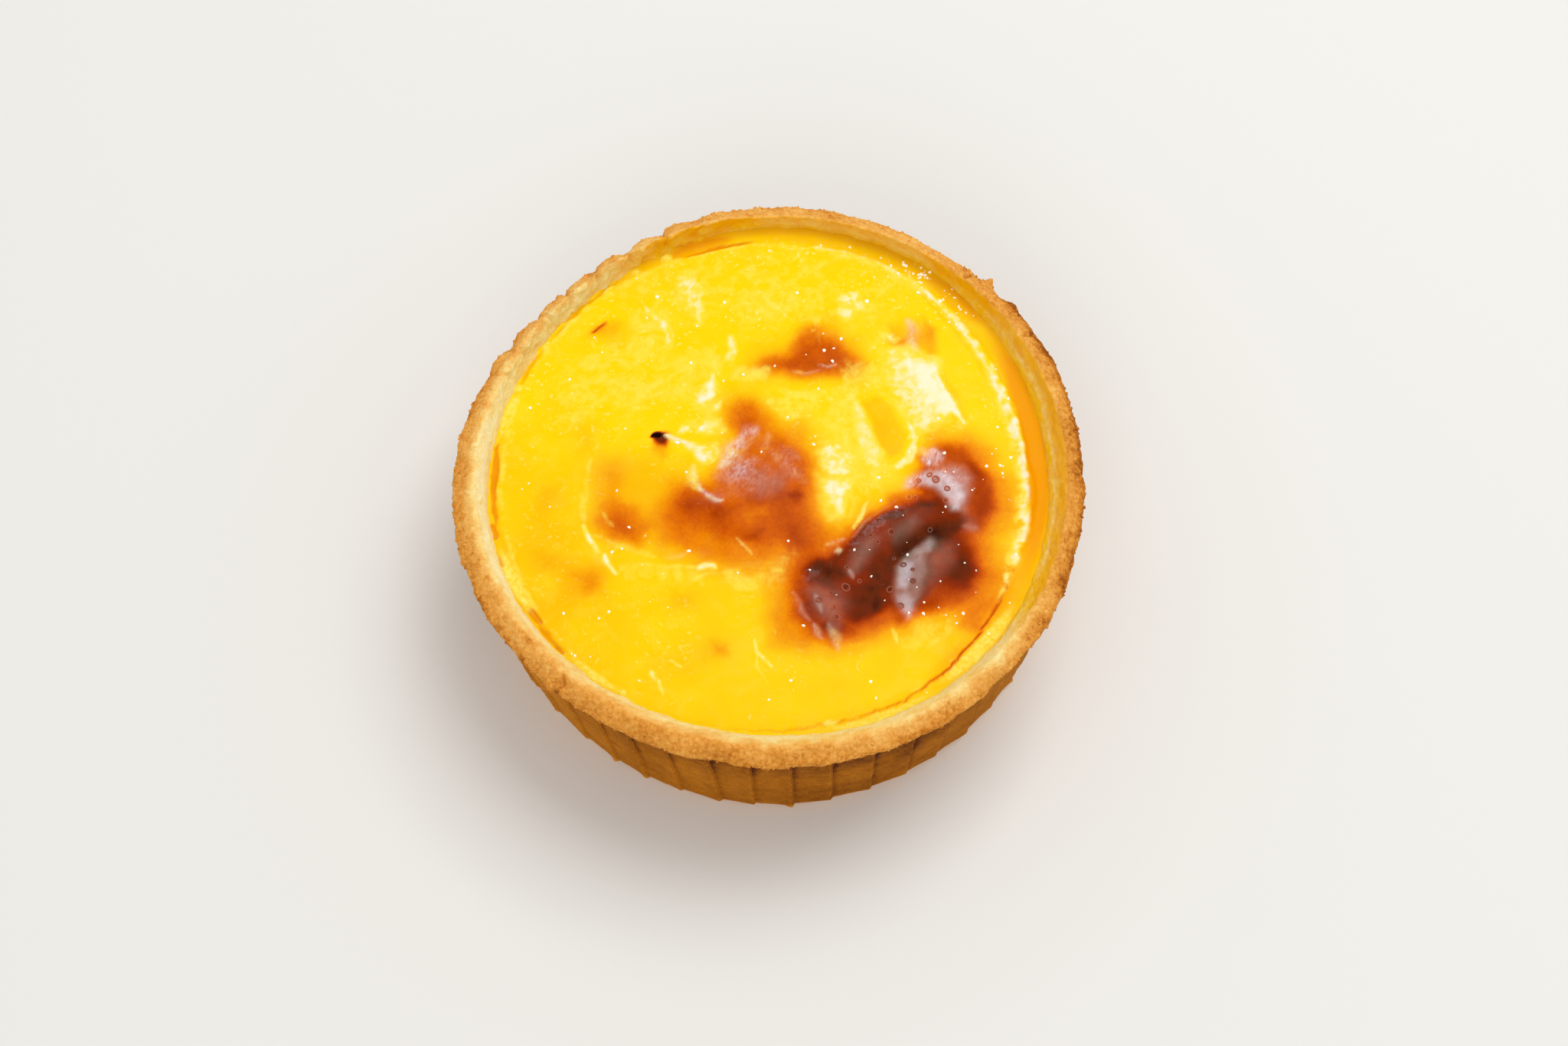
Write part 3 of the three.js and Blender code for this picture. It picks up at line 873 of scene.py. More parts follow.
def browning_and_shade(case):
    """How far each place is baked, from 0 to 1: cream on the bevel, gold on top, and darker on the
    edge, in the folds and on the wall. The same value holds painted shade and highlights on the wall."""
    angle, course, edge, top = case.angle, case.course, case.edge, case.top
    reach, brown = table_values(RIM_BROWNING, turn_between(angle, 0))
    place = course + reach + 0.24 * case.lumps(3.4, 64) + 0.2 * case.lumps(1.2, 65, 2)
    place += 0.2 * case.lobed_side * np.cos(2 * np.pi * (case.share + 0.2))
    place = np.where(course > 2.0, place, course)
    bake_and_shade = brown * (1 - smooth(2.7, 4.1, place)) + 0.06 * smooth(2.6, 2.1, course) * edge
    # Below the rim's top a fixed 0.77, darker at the front as painted shade; then the wall's own marks.
    bake_and_shade = np.where(course < 1.9, 0.77 + 0.07 * case.front_side, bake_and_shade) + wall_browning_and_shade(case)
    bake_and_shade += 0.07 * (top + edge) * around(angle, -28, 34, 12) + 0.09 * top * case.lumps(6, 61)
    bake_and_shade += 0.18 * case.crack + 0.14 * case.crease
    # Browner folds at the back left; the bevel there is browner too, partly as painted shade warmed by
    # the custard's bounced light.
    bake_and_shade += (0.16 * case.folds + 0.12 * case.bevel) * case.lobed_side
    uneven = 0.7 + 0.6 * case.lumps(2.2, 62)
    for at, half, middle, strength in RIM_TOAST:
        spread = np.hypot(turn_between(angle, at) / half, (course - middle) / 0.45)
        bake_and_shade += 0.6 * strength * mound(spread, 1.0) * uneven * (top + edge > 0.3)
    return np.clip(bake_and_shade, 0, 1)


def soaking_and_shade(case):
    """Where custard has soaked into the bevel: low all round and at the front right. At the back and
    at the right the ochre is partly soaked custard and partly painted shade, warm with the light that
    the custard throws back; on the right it is thinner along a pale line where the ledge is lit.
    """
    angle, course = case.angle, case.course
    # Painted shade, partly soaked custard: ochre on the bevel at the back, which faces away from the
    # lamps.
    stain_and_shade = between(3.15, 4.6, 0.2, course) * case.back_side * (1 - 0.3 * around(angle, 54, 88, 8))
    pale_line = gauss((course - 3.72) / 0.13) * np.clip(0.55 + 0.8 * case.lumps(1.4, 66, 2), 0, 1)
    # Painted shade, partly soaked custard, on the steep bevel at the right, thinner on the lit pale
    # ledge.
    stain_and_shade += between(3.15, 4.6, 0.12, course) * case.right_side * (0.9 - 0.6 * pale_line)
    stain_and_shade += between(3.85, 4.6, 0.15, course) * 0.3
    stain_and_shade += between(3.3, 4.6, 0.3, course) * 0.35 * around(angle, -78, -28, 14)
    return np.clip(stain_and_shade, 0, 1)


def make_crust(material):
    """The pastry case, and the burrs and crumbs that grow from it."""
    case = Case()
    out = wall_relief(case) + rim_relief(case)
    x, y = polar(case.angle, case.radius + out)
    rings = np.stack([x, y, np.maximum(case.height + rim_rise(case), 0)], -1)
    body = make_piece("crust_body", *closed_rings(rings, (0, 0, 0), (0, 0, FLOOR_HEIGHT)))

    def keep(name, values, first=0.0, last=0.0):
        add_values(body, name, [first, *np.broadcast_to(values, x.shape).ravel(), last])

    rim = case.top + case.edge
    sandy = 0.25 + 0.75 * np.clip(rim + 0.4 * case.bevel, 0, 1)
    keep("bake_and_shade", browning_and_shade(case), 0.6, 0.4)
    keep("stain_and_shade", soaking_and_shade(case))
    keep("top", np.clip(rim + (0.55 + 0.35 * case.lobed_side) * case.bevel, 0, 1))
    keep("wall", case.wall)
    keep("crumb", sandy * smooth(0.3, 1.2, case.z))
    keep("crumbs", np.clip(between(1.5, 2.6, 0.3, case.course) * (0.4 + case.edge), 0, 1))
    keep("burrs", case.wall * case.ridge * (0.3 + case.low))
    crust = crumb_relief(body, material)
    burrs = grow_bits(body, "seam_burrs", material, "burrs", **BURRS)
    crumbs = grow_bits(body, "rim_crumbs", material, "crumbs", **CRUMBS)
    bpy.data.objects.remove(body)
    return crust, burrs, crumbs


def crumb_relief(body, material):
    """The crust itself: the body with its surface pushed in and out in fine sandy lumps."""
    tree = Growth("Sandy crumb")
    lump = tree.size("Lump size", 1.1 * MM)
    lump_depth = tree.size("Lump depth", 0.34 * MM)
    grit = tree.size("Grit size", 0.45 * MM)
    grit_depth = tree.size("Grit depth", 0.2 * MM)
    push = tree.plus(tree.swell(lump, lump_depth, 1.0), tree.swell(grit, grit_depth, 1.0))
    push = tree.times(push, tree.read("crumb"))
    return tree.grow(body, "tart_crust", tree.pushed(tree.geometry, push), material)


# ---------------------------------------------------------------- the custard

# Blisters and dishes in the skin: rise, how far in from the outline they go on rising, outline.
SKIN_FORMS = [
    # The long blister, and the four beside it.
    (0.95, 5, (11.5, -13), (14.5, -9.3), (18, -6.6), (22, -4.6), (28, -3.2), (32, -5), (32.5, -8),
     (28, -9.5), (23, -12), (18.5, -15.5), (16.5, -20), (13.5, -18.5)),
    (0.8, 5.5, (22, -2), (24, 0.6), (25, 5), (29, 7), (33, 6.5), (36, 2.5), (37.8, -2), (37, -7),
     (33, -8.5), (29.5, -5.5)),
    (0.95, 5.5, (19.2, -21), (20.2, -15.5), (24, -11.8), (29, -11), (33, -12.5), (34, -17), (32.5, -22),
     (27, -24.5), (21, -26.2)),
    (0.9, 5.5, (2.5, -23), (4.5, -17.5), (8, -15.2), (12, -17.5), (16, -21.5), (17, -26), (12.5, -29.5),
     (6, -29.5), (2.8, -27)),
    # The orange dome in the middle, and what surrounds it.
    (0.5, 8, (-12, -9), (-11, -3), (-8, 3), (-4.5, 9.5), (2, 10), (7, 6), (8.5, -1), (8.5, -8), (4, -13),
     (-5, -13.5)),
    (0.4, 4.5, (-17, -5), (-12, -2.2), (-6, -3.5), (-5, -8), (-9, -10.5), (-15, -9.5)),
    (-0.6, 4, (-31.6, -2), (-30.5, 2.5), (-26, 6), (-20, 7.2), (-15, 4.5), (-11.5, -1), (-9, -8),
     (-8, -13.5), (-12, -16), (-20, -15.2), (-27, -12.5), (-31, -8)),
    (-0.4, 2.2, (-21.2, 7.8), (-17.8, 8), (-16.5, 6), (-18.8, 4.5), (-21, 5.8)),
    (0.4, 3, (8, 5.5), (11, 6), (13, 2), (12.6, -3), (11, -8.5), (8.2, -4), (7.8, 1)),
    # Folds behind the middle.
    (0.45, 3.2, (15.4, 15), (18.5, 15), (22, 11.5), (23.3, 7), (21.5, 3.8), (19, 3), (17.3, 7), (16, 11)),
    (0.3, 4.5, (-2, 20.8), (3, 24), (6.5, 28.5), (10, 28.5), (15, 24), (17, 20.5), (9, 20.2)),
    (0.4, 3.5, (20, 26), (23, 25), (28.4, 23), (28.3, 19), (31.5, 14), (32.8, 10), (28, 9), (24.5, 8.5),
     (22, 14), (20, 20)),
    (0.3, 3, (22.5, 31), (25.5, 31), (27, 25), (23, 24)),
    (0.16, 4, (-15.5, 40.5), (-12, 39), (-11, 31), (-14, 30), (-16.5, 36)),
    (0.16, 6, (-37, 12), (-33, 24), (-24, 27), (-17, 25), (-20, 14), (-28, 10)),
    (0.18, 4, (-1, 11), (0, 17), (8, 18.5), (12, 16), (8, 12)),
    (0.15, 4, (9, 30), (10, 37), (15.5, 37), (16, 30)),
    (0.18, 3, (-13, 20), (-9.5, 20.5), (-9.5, 15), (-13.5, 13)),
]

# Toasted patches: strength, how far the edge fades, outline.
TOASTED = [
    # The burn: its halo, its body and its darkest part.
    (0.34, 3.2, (-1, -21), (2, -16), (3.5, -12), (8, -9.5), (13, -8), (17, -4.5), (22, -1.5), (24.5, 4),
     (27, 8.5), (33, 8.5), (37, 6), (39.5, 0), (39.5, -6), (37, -11), (36, -18), (34.6, -23), (27, -26),
     (20, -28.5), (13, -31), (6, -32), (0, -30), (-1, -26)),
    (0.46, 1.7, (24.6, 4), (26.5, 5.2), (29.5, 5.8), (32.6, 5.2), (35, 3), (36.7, 0), (37.6, -2.5),
     (37.2, -6), (35.4, -8.6), (33.6, -10.2), (33.6, -14), (34, -17), (33, -20.5), (31, -22.7),
     (27.5, -24), (24, -25), (20.8, -26), (19, -25.4), (16.5, -27.6), (13, -29.2), (9.5, -30), (6, -28.6),
     (3.6, -25), (3, -21.5), (3.6, -18), (5, -15.4), (8.5, -14.4), (11, -12.6), (13, -9.8), (16.6, -6.4),
     (20, -4.2), (22.6, -3.2), (23.4, -1.2), (24.6, 0.6), (25, 2.5)),
    (0.42, 0.9, (5, -17), (7, -15.5), (10, -14.9), (12, -13), (14.2, -10), (17, -7.6), (20.2, -5.8),
     (24.4, -4.5), (28, -4.2), (31, -5.6), (32.6, -8), (31.2, -10.6), (28.6, -12.2), (26.8, -15),
     (26.4, -18.5), (25.4, -21.6), (23, -23.6), (19.4, -23.6), (17.4, -25), (13.4, -26.4), (11, -24),
     (9, -20.6), (6, -19)),
    (0.06, 2, (30.5, 5.5), (34, 4), (36.3, 0), (37, -4), (35, -8.5), (32.5, -6), (33.3, -1), (31.5, 2.5)),
    (0.12, 2.2, (26, -12), (31, -12), (33, -15), (32.6, -19), (29, -22), (24, -23), (25, -17)),
    (0.3, 1.8, (26.4, -9.5), (30.5, -10.5), (33, -13), (33, -17.5), (30.4, -20), (26.8, -19.5),
     (26.2, -14)),
    (0.2, 2, (5.5, -20), (9, -19), (12, -23), (16, -26), (12, -28.5), (8, -28), (5, -25)),
    # The middle: halo and body.
    (0.28, 3.4, (-20, -7), (-17.6, -1), (-11.6, 1), (-8, 9), (-3, 12.5), (5, 11), (8.6, 6), (8, -2),
     (9.6, -9), (8, -14.6), (4, -17), (-4, -18), (-12, -16.8), (-18, -13)),
    (0.36, 2.4, (-16.4, -4.5), (-13, -2.4), (-10, -1.2), (-8.4, 1.5), (-6.4, 4.4), (-4.4, 8.6), (-1.5, 9),
     (2, 7.8), (4.8, 6), (6.4, 3.4), (7, 0), (6.8, -3), (7.2, -8), (5.5, -12), (2.5, -13.6), (-3, -12.8),
     (-8, -11.6), (-12, -10), (-15, -8)),
    # The patch behind the middle.
    (0.22, 2.4, (-6, 20), (-4, 23.6), (1, 27), (5.4, 31), (10.5, 30.8), (15, 27), (17.6, 22),
     (15.6, 18.4), (4, 18)),
    (0.38, 1.8, (-2.8, 20.6), (-1.2, 22.8), (2.4, 24.4), (4.8, 28), (7.6, 29), (10.4, 27.8), (13, 24.8),
     (15.4, 22), (14.4, 19.9), (10, 19.5), (3, 19.5)),
    (0.16, 1.5, (1.5, 21.2), (5, 24.5), (8.5, 26.6), (11, 24.5), (11.5, 22.2), (9, 21), (5, 20.9)),
    # Small places, from the left round to the right.
    (0.4, 3, (-29.4, -8), (-27, -5.4), (-23.6, -5.8), (-21.2, -9), (-22.6, -12), (-26.6, -11.4)),
    (0.17, 2.8, (-31, -4), (-29.6, 2.5), (-26, 4.6), (-20, 5), (-15, 2.5), (-12.5, -3), (-13, -12),
     (-20, -12.6), (-27, -11.4), (-30.6, -8)),
    (0.12, 2.2, (-29, 4), (-25.6, 4), (-25.6, -5), (-28.6, -5)),
    (0.06, 2.4, (-18, -4), (-14, -1.6), (-12, -12), (-16, -12)),
    (0.8, 0.7, (-20.6, 8.2), (-18, 8.2), (-17, 7.2), (-17.8, 5.9), (-19.2, 6.2), (-20.2, 7)),
    (0.3, 1.3, (-20.6, 7.8), (-17.6, 8), (-17, 5.8), (-18.8, 4.2), (-20.4, 5.4)),
    (0.3, 2.2, (-7.4, 13), (-5.8, 14.8), (-3.2, 14.4), (-2.2, 12), (-3, 9.6), (-5.2, 8.8), (-7.2, 10.4)),
    (0.24, 2.8, (-10, 14), (-7.5, 17.4), (-3, 17.2), (0, 14), (0, 10.6), (-5, 8), (-9.4, 10.6)),
    (0.12, 2, (-32, 28), (-28, 31), (-24.5, 28.5), (-27, 25.5)),
    (0.16, 1.6, (-33, -18), (-30, -17), (-28.6, -19.5), (-30.5, -21.5)),
    (0.12, 2.6, (-35, -16), (-28, -16), (-27, -22), (-34, -22)),
    (0.1, 2, (-39, -14), (-36, -14.5), (-36, -17), (-39, -17)),
    (0.1, 2.4, (-39, -1), (-35, -1), (-35, -5), (-39, -5)),
    (0.1, 2.2, (-33, 10), (-30, 10), (-30, 5), (-33, 5)),
    (0.18, 1.4, (-9.6, -30), (-7.2, -30), (-7, -32), (-9.4, -32)),
    (0.1, 2.2, (-11, -28.5), (-6, -28.5), (-6, -33.5), (-11, -33.5)),
    (0.12, 2.2, (-16.5, -21), (-12.5, -21), (-12.5, -24.5), (-16.5, -24)),
    (0.06, 2.4, (-20, -33), (-12, -31), (-12, -36), (-19, -38)),
    (0.3, 1.3, (26.2, 31), (28.6, 29), (28.8, 24.2), (26.8, 23), (26.2, 26.5)),
    (0.28, 1.4, (23, 30.6), (25, 30.4), (26.2, 27.6), (26, 25), (24, 24.6), (22.2, 27)),
    (0.3, 0.9, (19.2, 26.8), (20.8, 28), (22.8, 27), (22.8, 25.2), (20.6, 25.2)),
    (0.2, 0.9, (20, 29.8), (22, 29.8), (22.4, 27.6), (20.4, 27.8)),
    (0.17, 0.7, (15.5, 15), (18.2, 15.2), (21.6, 11.6), (22.9, 8), (22, 4.8), (20, 3.6), (18.2, 5.8),
     (16.8, 9.5)),
    (0.14, 1.5, (29.5, 20), (31.5, 17), (33.5, 11), (31.5, 10), (29.5, 15)),
    (0.2, 1.6, (31, -24.5), (34.5, -24), (34, -27.5), (31, -27.5)),
    (0.12, 2.5, (32, -16), (38, -17), (34, -28), (30, -26)),
    (0.1, 2.5, (35, -13), (41, -14), (39.5, -22), (35, -28), (29, -28), (34, -20)),
    (0.12, 2.5, (38, 0), (41, -1), (41, -10), (38, -10)),
]

# Milky patches in the skin, partly a painted reflection of the light: strength, how far the edge
# fades, share that is broken up, outline.
MILKY_AND_REFLECTED = [
    (0.72, 1.6, 0.4, (20.6, 24), (22.8, 24.6), (25, 23.4), (28.2, 22.8), (28.6, 21.4), (28, 19.4),
     (29.5, 16.8), (31, 13.8), (32.5, 10.4), (31.6, 10.2), (30.4, 12.4), (28.5, 10.6), (26.4, 9),
     (24.4, 9.2), (23, 12), (21.4, 15.4), (20.4, 19)),
    (0.6, 1.2, 0.2, (23.6, 22.6), (28, 22.2), (29.4, 17), (31.8, 12.4), (29, 13), (26.2, 15), (24.4, 19)),
    (0.28, 2.2, 0.6, (17, 27), (22, 26), (20.5, 19), (22, 13), (18.5, 16), (15.5, 18), (12, 17.5),
     (13, 22), (17, 23)),
    (0.1, 0.7, 0.5, (23, 30.8), (25, 30.2), (25.8, 27.6), (26.6, 24.6), (25, 23.8), (23.4, 24.4),
     (22.8, 27)),
    (0.5, 0.6, 0.5, (18.8, 27.8), (20.6, 28), (21.8, 27.2), (21.2, 26.2), (19.4, 26.6)),
    (0.62, 0.8, 0.3, (13.6, 16), (15.3, 13.5), (16, 10.5), (17.2, 7.8), (18.6, 4.4), (17.4, 1.8),
     (15.4, 3.4), (14.2, 8)),
    (0.3, 2.2, 0.6, (10, 17), (14, 16), (13, 9), (15, 3), (20, 2.5), (18, -2), (13, -4), (12.5, 5),
     (9.5, 11)),
    (0.75, 0.4, 0.3, (23.1, 11), (24.5, 8.6), (24.6, 5), (23.4, 2.8), (21, 1.2), (20.4, 2), (22.6, 4),
     (23.6, 7)),
    (0.5, 1, 0.5, (8.4, 5.6), (9.4, 6.4), (11.4, 5.6), (12.8, 3), (12.6, 0.6), (9.8, 0.2), (8.6, 2)),
    (0.66, 0.8, 0.4, (8.4, -0.4), (12, -1.2), (12.6, -2), (11.6, -4), (11.4, -7.4), (10.4, -5),
     (9, -3.4)),
    (0.55, 0.7, 0.5, (-15.4, 6.8), (-12, 6.4), (-9.4, 6.4), (-8.6, 4), (-11, 2.6), (-13.2, 3.6)),
    (0.42, 1, 0.6, (-14.6, 10.6), (-9, 11.2), (-7.8, 8.6), (-12, 8)),
    (0.4, 1.2, 0.6, (-13, 16), (-10, 19.6), (-9, 14.6), (-10.4, 11.6), (-13, 13)),
    (0.3, 1.6, 0.5, (7.4, 8), (12, 8), (13.8, 2), (13.5, -6), (11.5, -9.5), (8.6, -6), (7.8, 0)),
    (0.6, 0.9, 0.6, (12, 36.6), (15, 36.4), (15.8, 33.4), (14, 31), (11.5, 31.4), (11.4, 34)),
    (0.3, 1.2, 0.7, (-1, 14.6), (1.5, 16.6), (6, 17.4), (9, 16.2), (7, 12.6), (2.5, 11.2)),
    (0.8, 0.5, 0.4, (-7.8, 27.6), (-6.8, 27), (-6.2, 24.4), (-6.8, 22.6), (-8.6, 22.4), (-7.6, 24.6)),
    (0.6, 1, 0.5, (-16.8, 40), (-14, 40.4), (-12.6, 37), (-12, 32), (-13, 29.6), (-14.2, 32.4),
     (-16.4, 35.4)),
    (0.45, 0.6, 0.5, (-19.8, 31), (-18.4, 30), (-17.4, 27.4), (-18, 25), (-18.8, 27.6)),
    (0.22, 1.8, 0.6, (-23, 35), (-19.5, 31), (-17.5, 26), (-20, 24), (-24.5, 27), (-25, 32)),
    (0.4, 1.2, 0.5, (-7, 21.5), (-1, 21), (-1.6, 19), (-7, 19)),
    (0.16, 1.8, 0.6, (-6, 31.5), (5, 31.5), (8, 27), (6, 33), (2, 38), (-7, 36)),
    (0.12, 4, 0.8, (-30, 40), (0, 46), (24, 40), (18, 29), (-5, 29), (-27, 33)),
    (0.2, 2.4, 0.7, (-38, 10), (-36, 21), (-30, 26), (-19, 25), (-17, 16), (-23, 11), (-29, 15),
     (-34, 9)),
    (0.28, 1.6, 0.5, (-16, 24), (-10, 25), (-9, 21), (-12, 14), (-17, 16)),
    (0.2, 2, 0.5, (-12, -18), (-2, -16.4), (3.4, -14.2), (1, -19), (-5, -21), (-12, -20)),
    (0.2, 2, 0.5, (-30, -14), (-24, -16), (-12, -17.5), (-12, -19), (-24, -18.5)),
    (0.25, 1.4, 0.5, (24, -27), (30, -25.5), (27, -31), (21, -31)),
]

# Wrinkles, lips, painted highlights and dark places in the skin: width, rise, milkiness (partly a
# painted reflection), toasting, painted highlight, and then the line's points.
STROKES = [
    # Round the dish.
    (0.6, 0.06, 0.22, 0, 0, (-30.6, 3.5), (-31.6, -1), (-31.9, -6), (-31.5, -8)),
    (0.42, 0.1, 0.9, 0, 0, (-31.7, -8.8), (-30.4, -11.4), (-29, -13.9)),
    (0.42, 0.1, 0.9, 0, 0, (-28, -14.2), (-27.3, -16), (-26, -17.8)),
    (0.7, 0.05, 0.2, 0, 0, (-29.6, -10.6), (-26, -12.6), (-22, -13.6), (-19, -14.6)),
    (0.4, 0.05, 0.2, 0, 0, (-22, -16), (-15, -16.4), (-10, -16.3)),
    (0.4, 0.1, 0.95, 0, 0, (-12.4, -16.6), (-11.2, -16.3), (-9.8, -16.2), (-9.3, -16.7)),
    (0.35, 0.06, 0.25, 0, 0, (-28.7, -6), (-27.8, -7.8), (-26.4, -8.9)),
    # The milk-white wisps beside the burnt tip, partly painted highlight, and the comma under them.
    (0.5, 0.1, 0.75, 0, 0.35, (-18.2, 7.9), (-16.5, 7.2), (-14.6, 6.6)),
    (0.85, 0.1, 0.6, 0, 0.1, (-15, 6.6), (-13, 5.6), (-12.1, 4.4), (-11.8, 3)),
    (0.75, 0.1, 0.7, 0, 0.2, (-13.8, 2), (-13.5, -0.4), (-12.2, -2.2)),
    (0.5, 0.08, 0.1, 0, 0.5, (-12.4, -2), (-11, -3.4), (-9.6, -4.3), (-8.4, -4.4)),
    (0.8, 0.06, 0.75, 0, 0, (-16, 8.8), (-14.6, 9.6)),
    (1, 0.06, 0.7, 0, 0, (-12.4, 9.2), (-10.4, 9.8)),
    (0.8, 0.06, 0.85, 0, 0, (-12.2, 14.6), (-11, 16.2), (-10.4, 19.2)),
    (0.5, 0.06, 0.6, 0, 0, (-9.8, 13.2), (-9, 14.4)),
    # The painted highlight of the film over the middle, and the dark places in it.
    (2.6, 0, 0, 0.06, 0.1, (-6.4, 1.6), (-3.4, -0.4), (0, -1.2), (2, 0)),
    (3.5, 0, 0, 0.05, 0, (-5, -6), (-1, -4), (3, -5)),
    (1.6, 0.08, 0.12, 0, 0.5, (-8.6, 2), (-7, 4.4), (-5.4, 7)),
    (1.2, 0.05, 0, 0, 0.3, (-5, 8), (-3, 9.6)),
    (1.6, 0, 0, 0, 0.2, (-9, 0), (-6, 0.6), (-3.4, 3)),
    (1, 0.06, 0.05, 0, 0.18, (-0.2, 4.6), (1.6, 2.8), (3.6, 1.2), (5.2, -1)),
    (0.9, 0.05, 0.05, 0, 0.14, (-4.6, 5.6), (-3.8, 7.6), (-3, 9)),
    (0.8, 0.05, 0.05, 0, 0.14, (-1.4, 4.6), (-1.2, 6.6), (-0.8, 8.2)),
    (1.3, 0, 0, 0, 0.15, (1.6, 5.4), (4, 3.6)),
    (1.8, 0, 0, 0.07, 0, (-13.6, -5), (-11, -5), (-8.6, -5.6)),
    (2.1, 0, 0, 0.1, 0, (-9.4, -7), (-8, -6.6)),
    (1.2, 0, 0, 0.14, 0, (3, -3.6), (4.9, -3.4)),
    (2, 0, 0, 0.07, 0, (2.4, -7), (3.4, -10.5)),
    (0.9, 0, 0, 0.08, 0, (-4.4, -11.4), (-1.6, -10)),
    (2, 0, 0, -0.1, 0, (-5.2, -7), (-2, -6.6)),
    (3, 0, 0, 0.07, 0, (-11, -13), (-6, -14.4), (-2, -14.6)),
    (0.3, 0.06, 0.3, 0, 0.1, (-6, -11.4), (-4.6, -13.2), (-3.8, -14.2)),
    # The ridge of the burn.
    (2, -0.12, 0, 0.07, 0, (17.4, -24), (16.4, -20.5), (17.6, -17), (22, -13), (26.5, -10.4), (31, -8.2)),
    (1, 0, 0, 0.05, 0, (13, -12), (15.6, -9.5), (20, -6.8), (26.5, -5.2)),
    (1.4, 0, 0, 0.05, 0, (6.6, -17), (9, -17), (12, -17.8)),
    (2, 0, 0, 0, 0.03, (13.4, -16.6), (15, -13.6), (17, -11.4), (20, -9.2), (23, -7.4), (26, -6)),
    (0.4, 0.05, 0, 0, 0.3, (12.6, -17.1), (13.4, -18.8)),
    (0.35, 0.08, 0.6, 0, 0.1, (13.2, -9.7), (14.2, -8.2), (15, -6.9), (16, -4.6)),
    (0.3, 0.06, 0.05, 0, 0.05, (13.4, -11.2), (15.6, -8.4), (18, -6), (21, -4)),
    (0.5, 0.08, 0.3, 0, 0.4, (10.6, -13.6), (11.6, -13.6)),
    (0.4, 0.08, 0.2, 0, 0.2, (9, -12.4), (12, -11.4)),
    # The lobe at its lower end.
    (1.6, 0, 0, 0, 0.05, (6.4, -20.8), (8, -22.8), (10, -25), (10.8, -27)),
    (0.5, 0.05, 0, 0, 0.22, (6.9, -21.8), (7.4, -23.2), (8.2, -24.8)),
    (0.45, 0.1, 0, -0.08, 0.2, (3.3, -21.2), (4.8, -24.4), (6, -26.4)),
    (0.6, 0.08, 0.05, -0.06, 0.3, (6.6, -27), (7.4, -28.4), (8.1, -29.4)),
    (2.6, 0, 0, 0, 0.04, (7, -21.5), (10, -25.5)),
    (0.8, 0.05, 0.1, 0, 0.25, (9.4, -27), (10.4, -29), (10.8, -31)),
    (0.25, 0.05, 0.4, 0, 0, (-0.4, -27.2), (0.6, -28.4)),
    # The lobe at its upper end.
    (1.6, 0, 0.1, -0.1, 0.1, (25.9, 4.8), (27.6, 4)),
    (1.5, 0, 0, -0.1, 0.1, (26.6, 2.8), (28.6, 1.4)),
    (0.6, 0, 0, 0, 0.15, (32.1, -8.9), (34.2, -9.3)),
    (0.9, 0, 0, -0.15, 0, (23.6, -2.4), (25, -2.8)),
    # Elsewhere, from the front round to the back.
    (0.3, 0.1, 0.4, 0, 0, (2.3, 45.6), (8, 45.6), (13.7, 44.6), (18.4, 42.8), (22.6, 40.2)),
    (0.3, 0.1, 0.5, 0, 0, (26.4, 36.8), (30.8, 32), (34.6, 26), (37.4, 20.4), (39.4, 14)),
    (0.35, -0.06, 0, 0.12, 0, (25.6, 36), (30, 31.2), (33.8, 25.2), (36.6, 19.6)),
    (1, 0, 0.1, 0, 0.36, (23.4, 30.4), (24.4, 28.4), (24, 26.4), (24.8, 24.6)),
    (0.5, 0.08, 0.7, 0, 0, (-19.6, -35), (-19.2, -36.2), (-18.2, -36.9)),
    (0.3, 0.06, 0.5, 0, 0, (-18.4, -37), (-17.8, -39)),
    (0.3, 0.08, 0.75, 0, 0, (-3.2, -29.5), (-2.6, -31.5), (-1.2, -33), (0, -34.2)),
    (0.25, 0.06, 0.35, 0, 0, (-2.6, -32), (-2.2, -34.4), (-0.6, -37)),
    (0.25, 0.08, 0.5, 0, 0, (-16.5, -33), (-14.8, -34.3)),
    (0.4, 0.08, 0.4, 0, 0, (19.4, -27.6), (20.2, -28.8), (20.5, -30)),
    (0.35, 0.08, 0.95, 0, 0, (28.2, 19.8), (29.5, 16.5), (31.2, 13.5), (32.6, 10.3)),
    (0.35, 0.08, 0.5, 0, 0, (-23, 34.5), (-21, 31.5), (-19.3, 29.8), (-18.2, 27.5)),
    (0.3, 0.08, 0.5, 0, 0, (-31.6, 26.6), (-31.2, 25.4)),
    (0.3, -0.05, 0, 0.34, 0, (-31.4, 28.2), (-30.2, 29.5), (-29.2, 30.5)),
    (0.9, 0, 0, 0.14, 0, (-31.6, 28.4), (-29.4, 30)),
    (2.2, 0, 0, 0.12, 0, (-31.6, 28), (-27, 30)),
    (0.42, 0.12, 0, 1.4, 0, (-20.8, 8), (-19.9, 8.2), (-18.8, 8.1)),
    (0.3, 0.08, 0.1, 0, 0.35, (8, 22), (9.6, 21.4), (11, 21.9)),
    (0.3, 0.05, 0.1, 0, 0.2, (3.4, 20.4), (6, 20.2), (8.4, 20.9)),
    (0.25, 0.06, 0.5, 0, 0, (17.6, 17.4), (19, 17)),
]

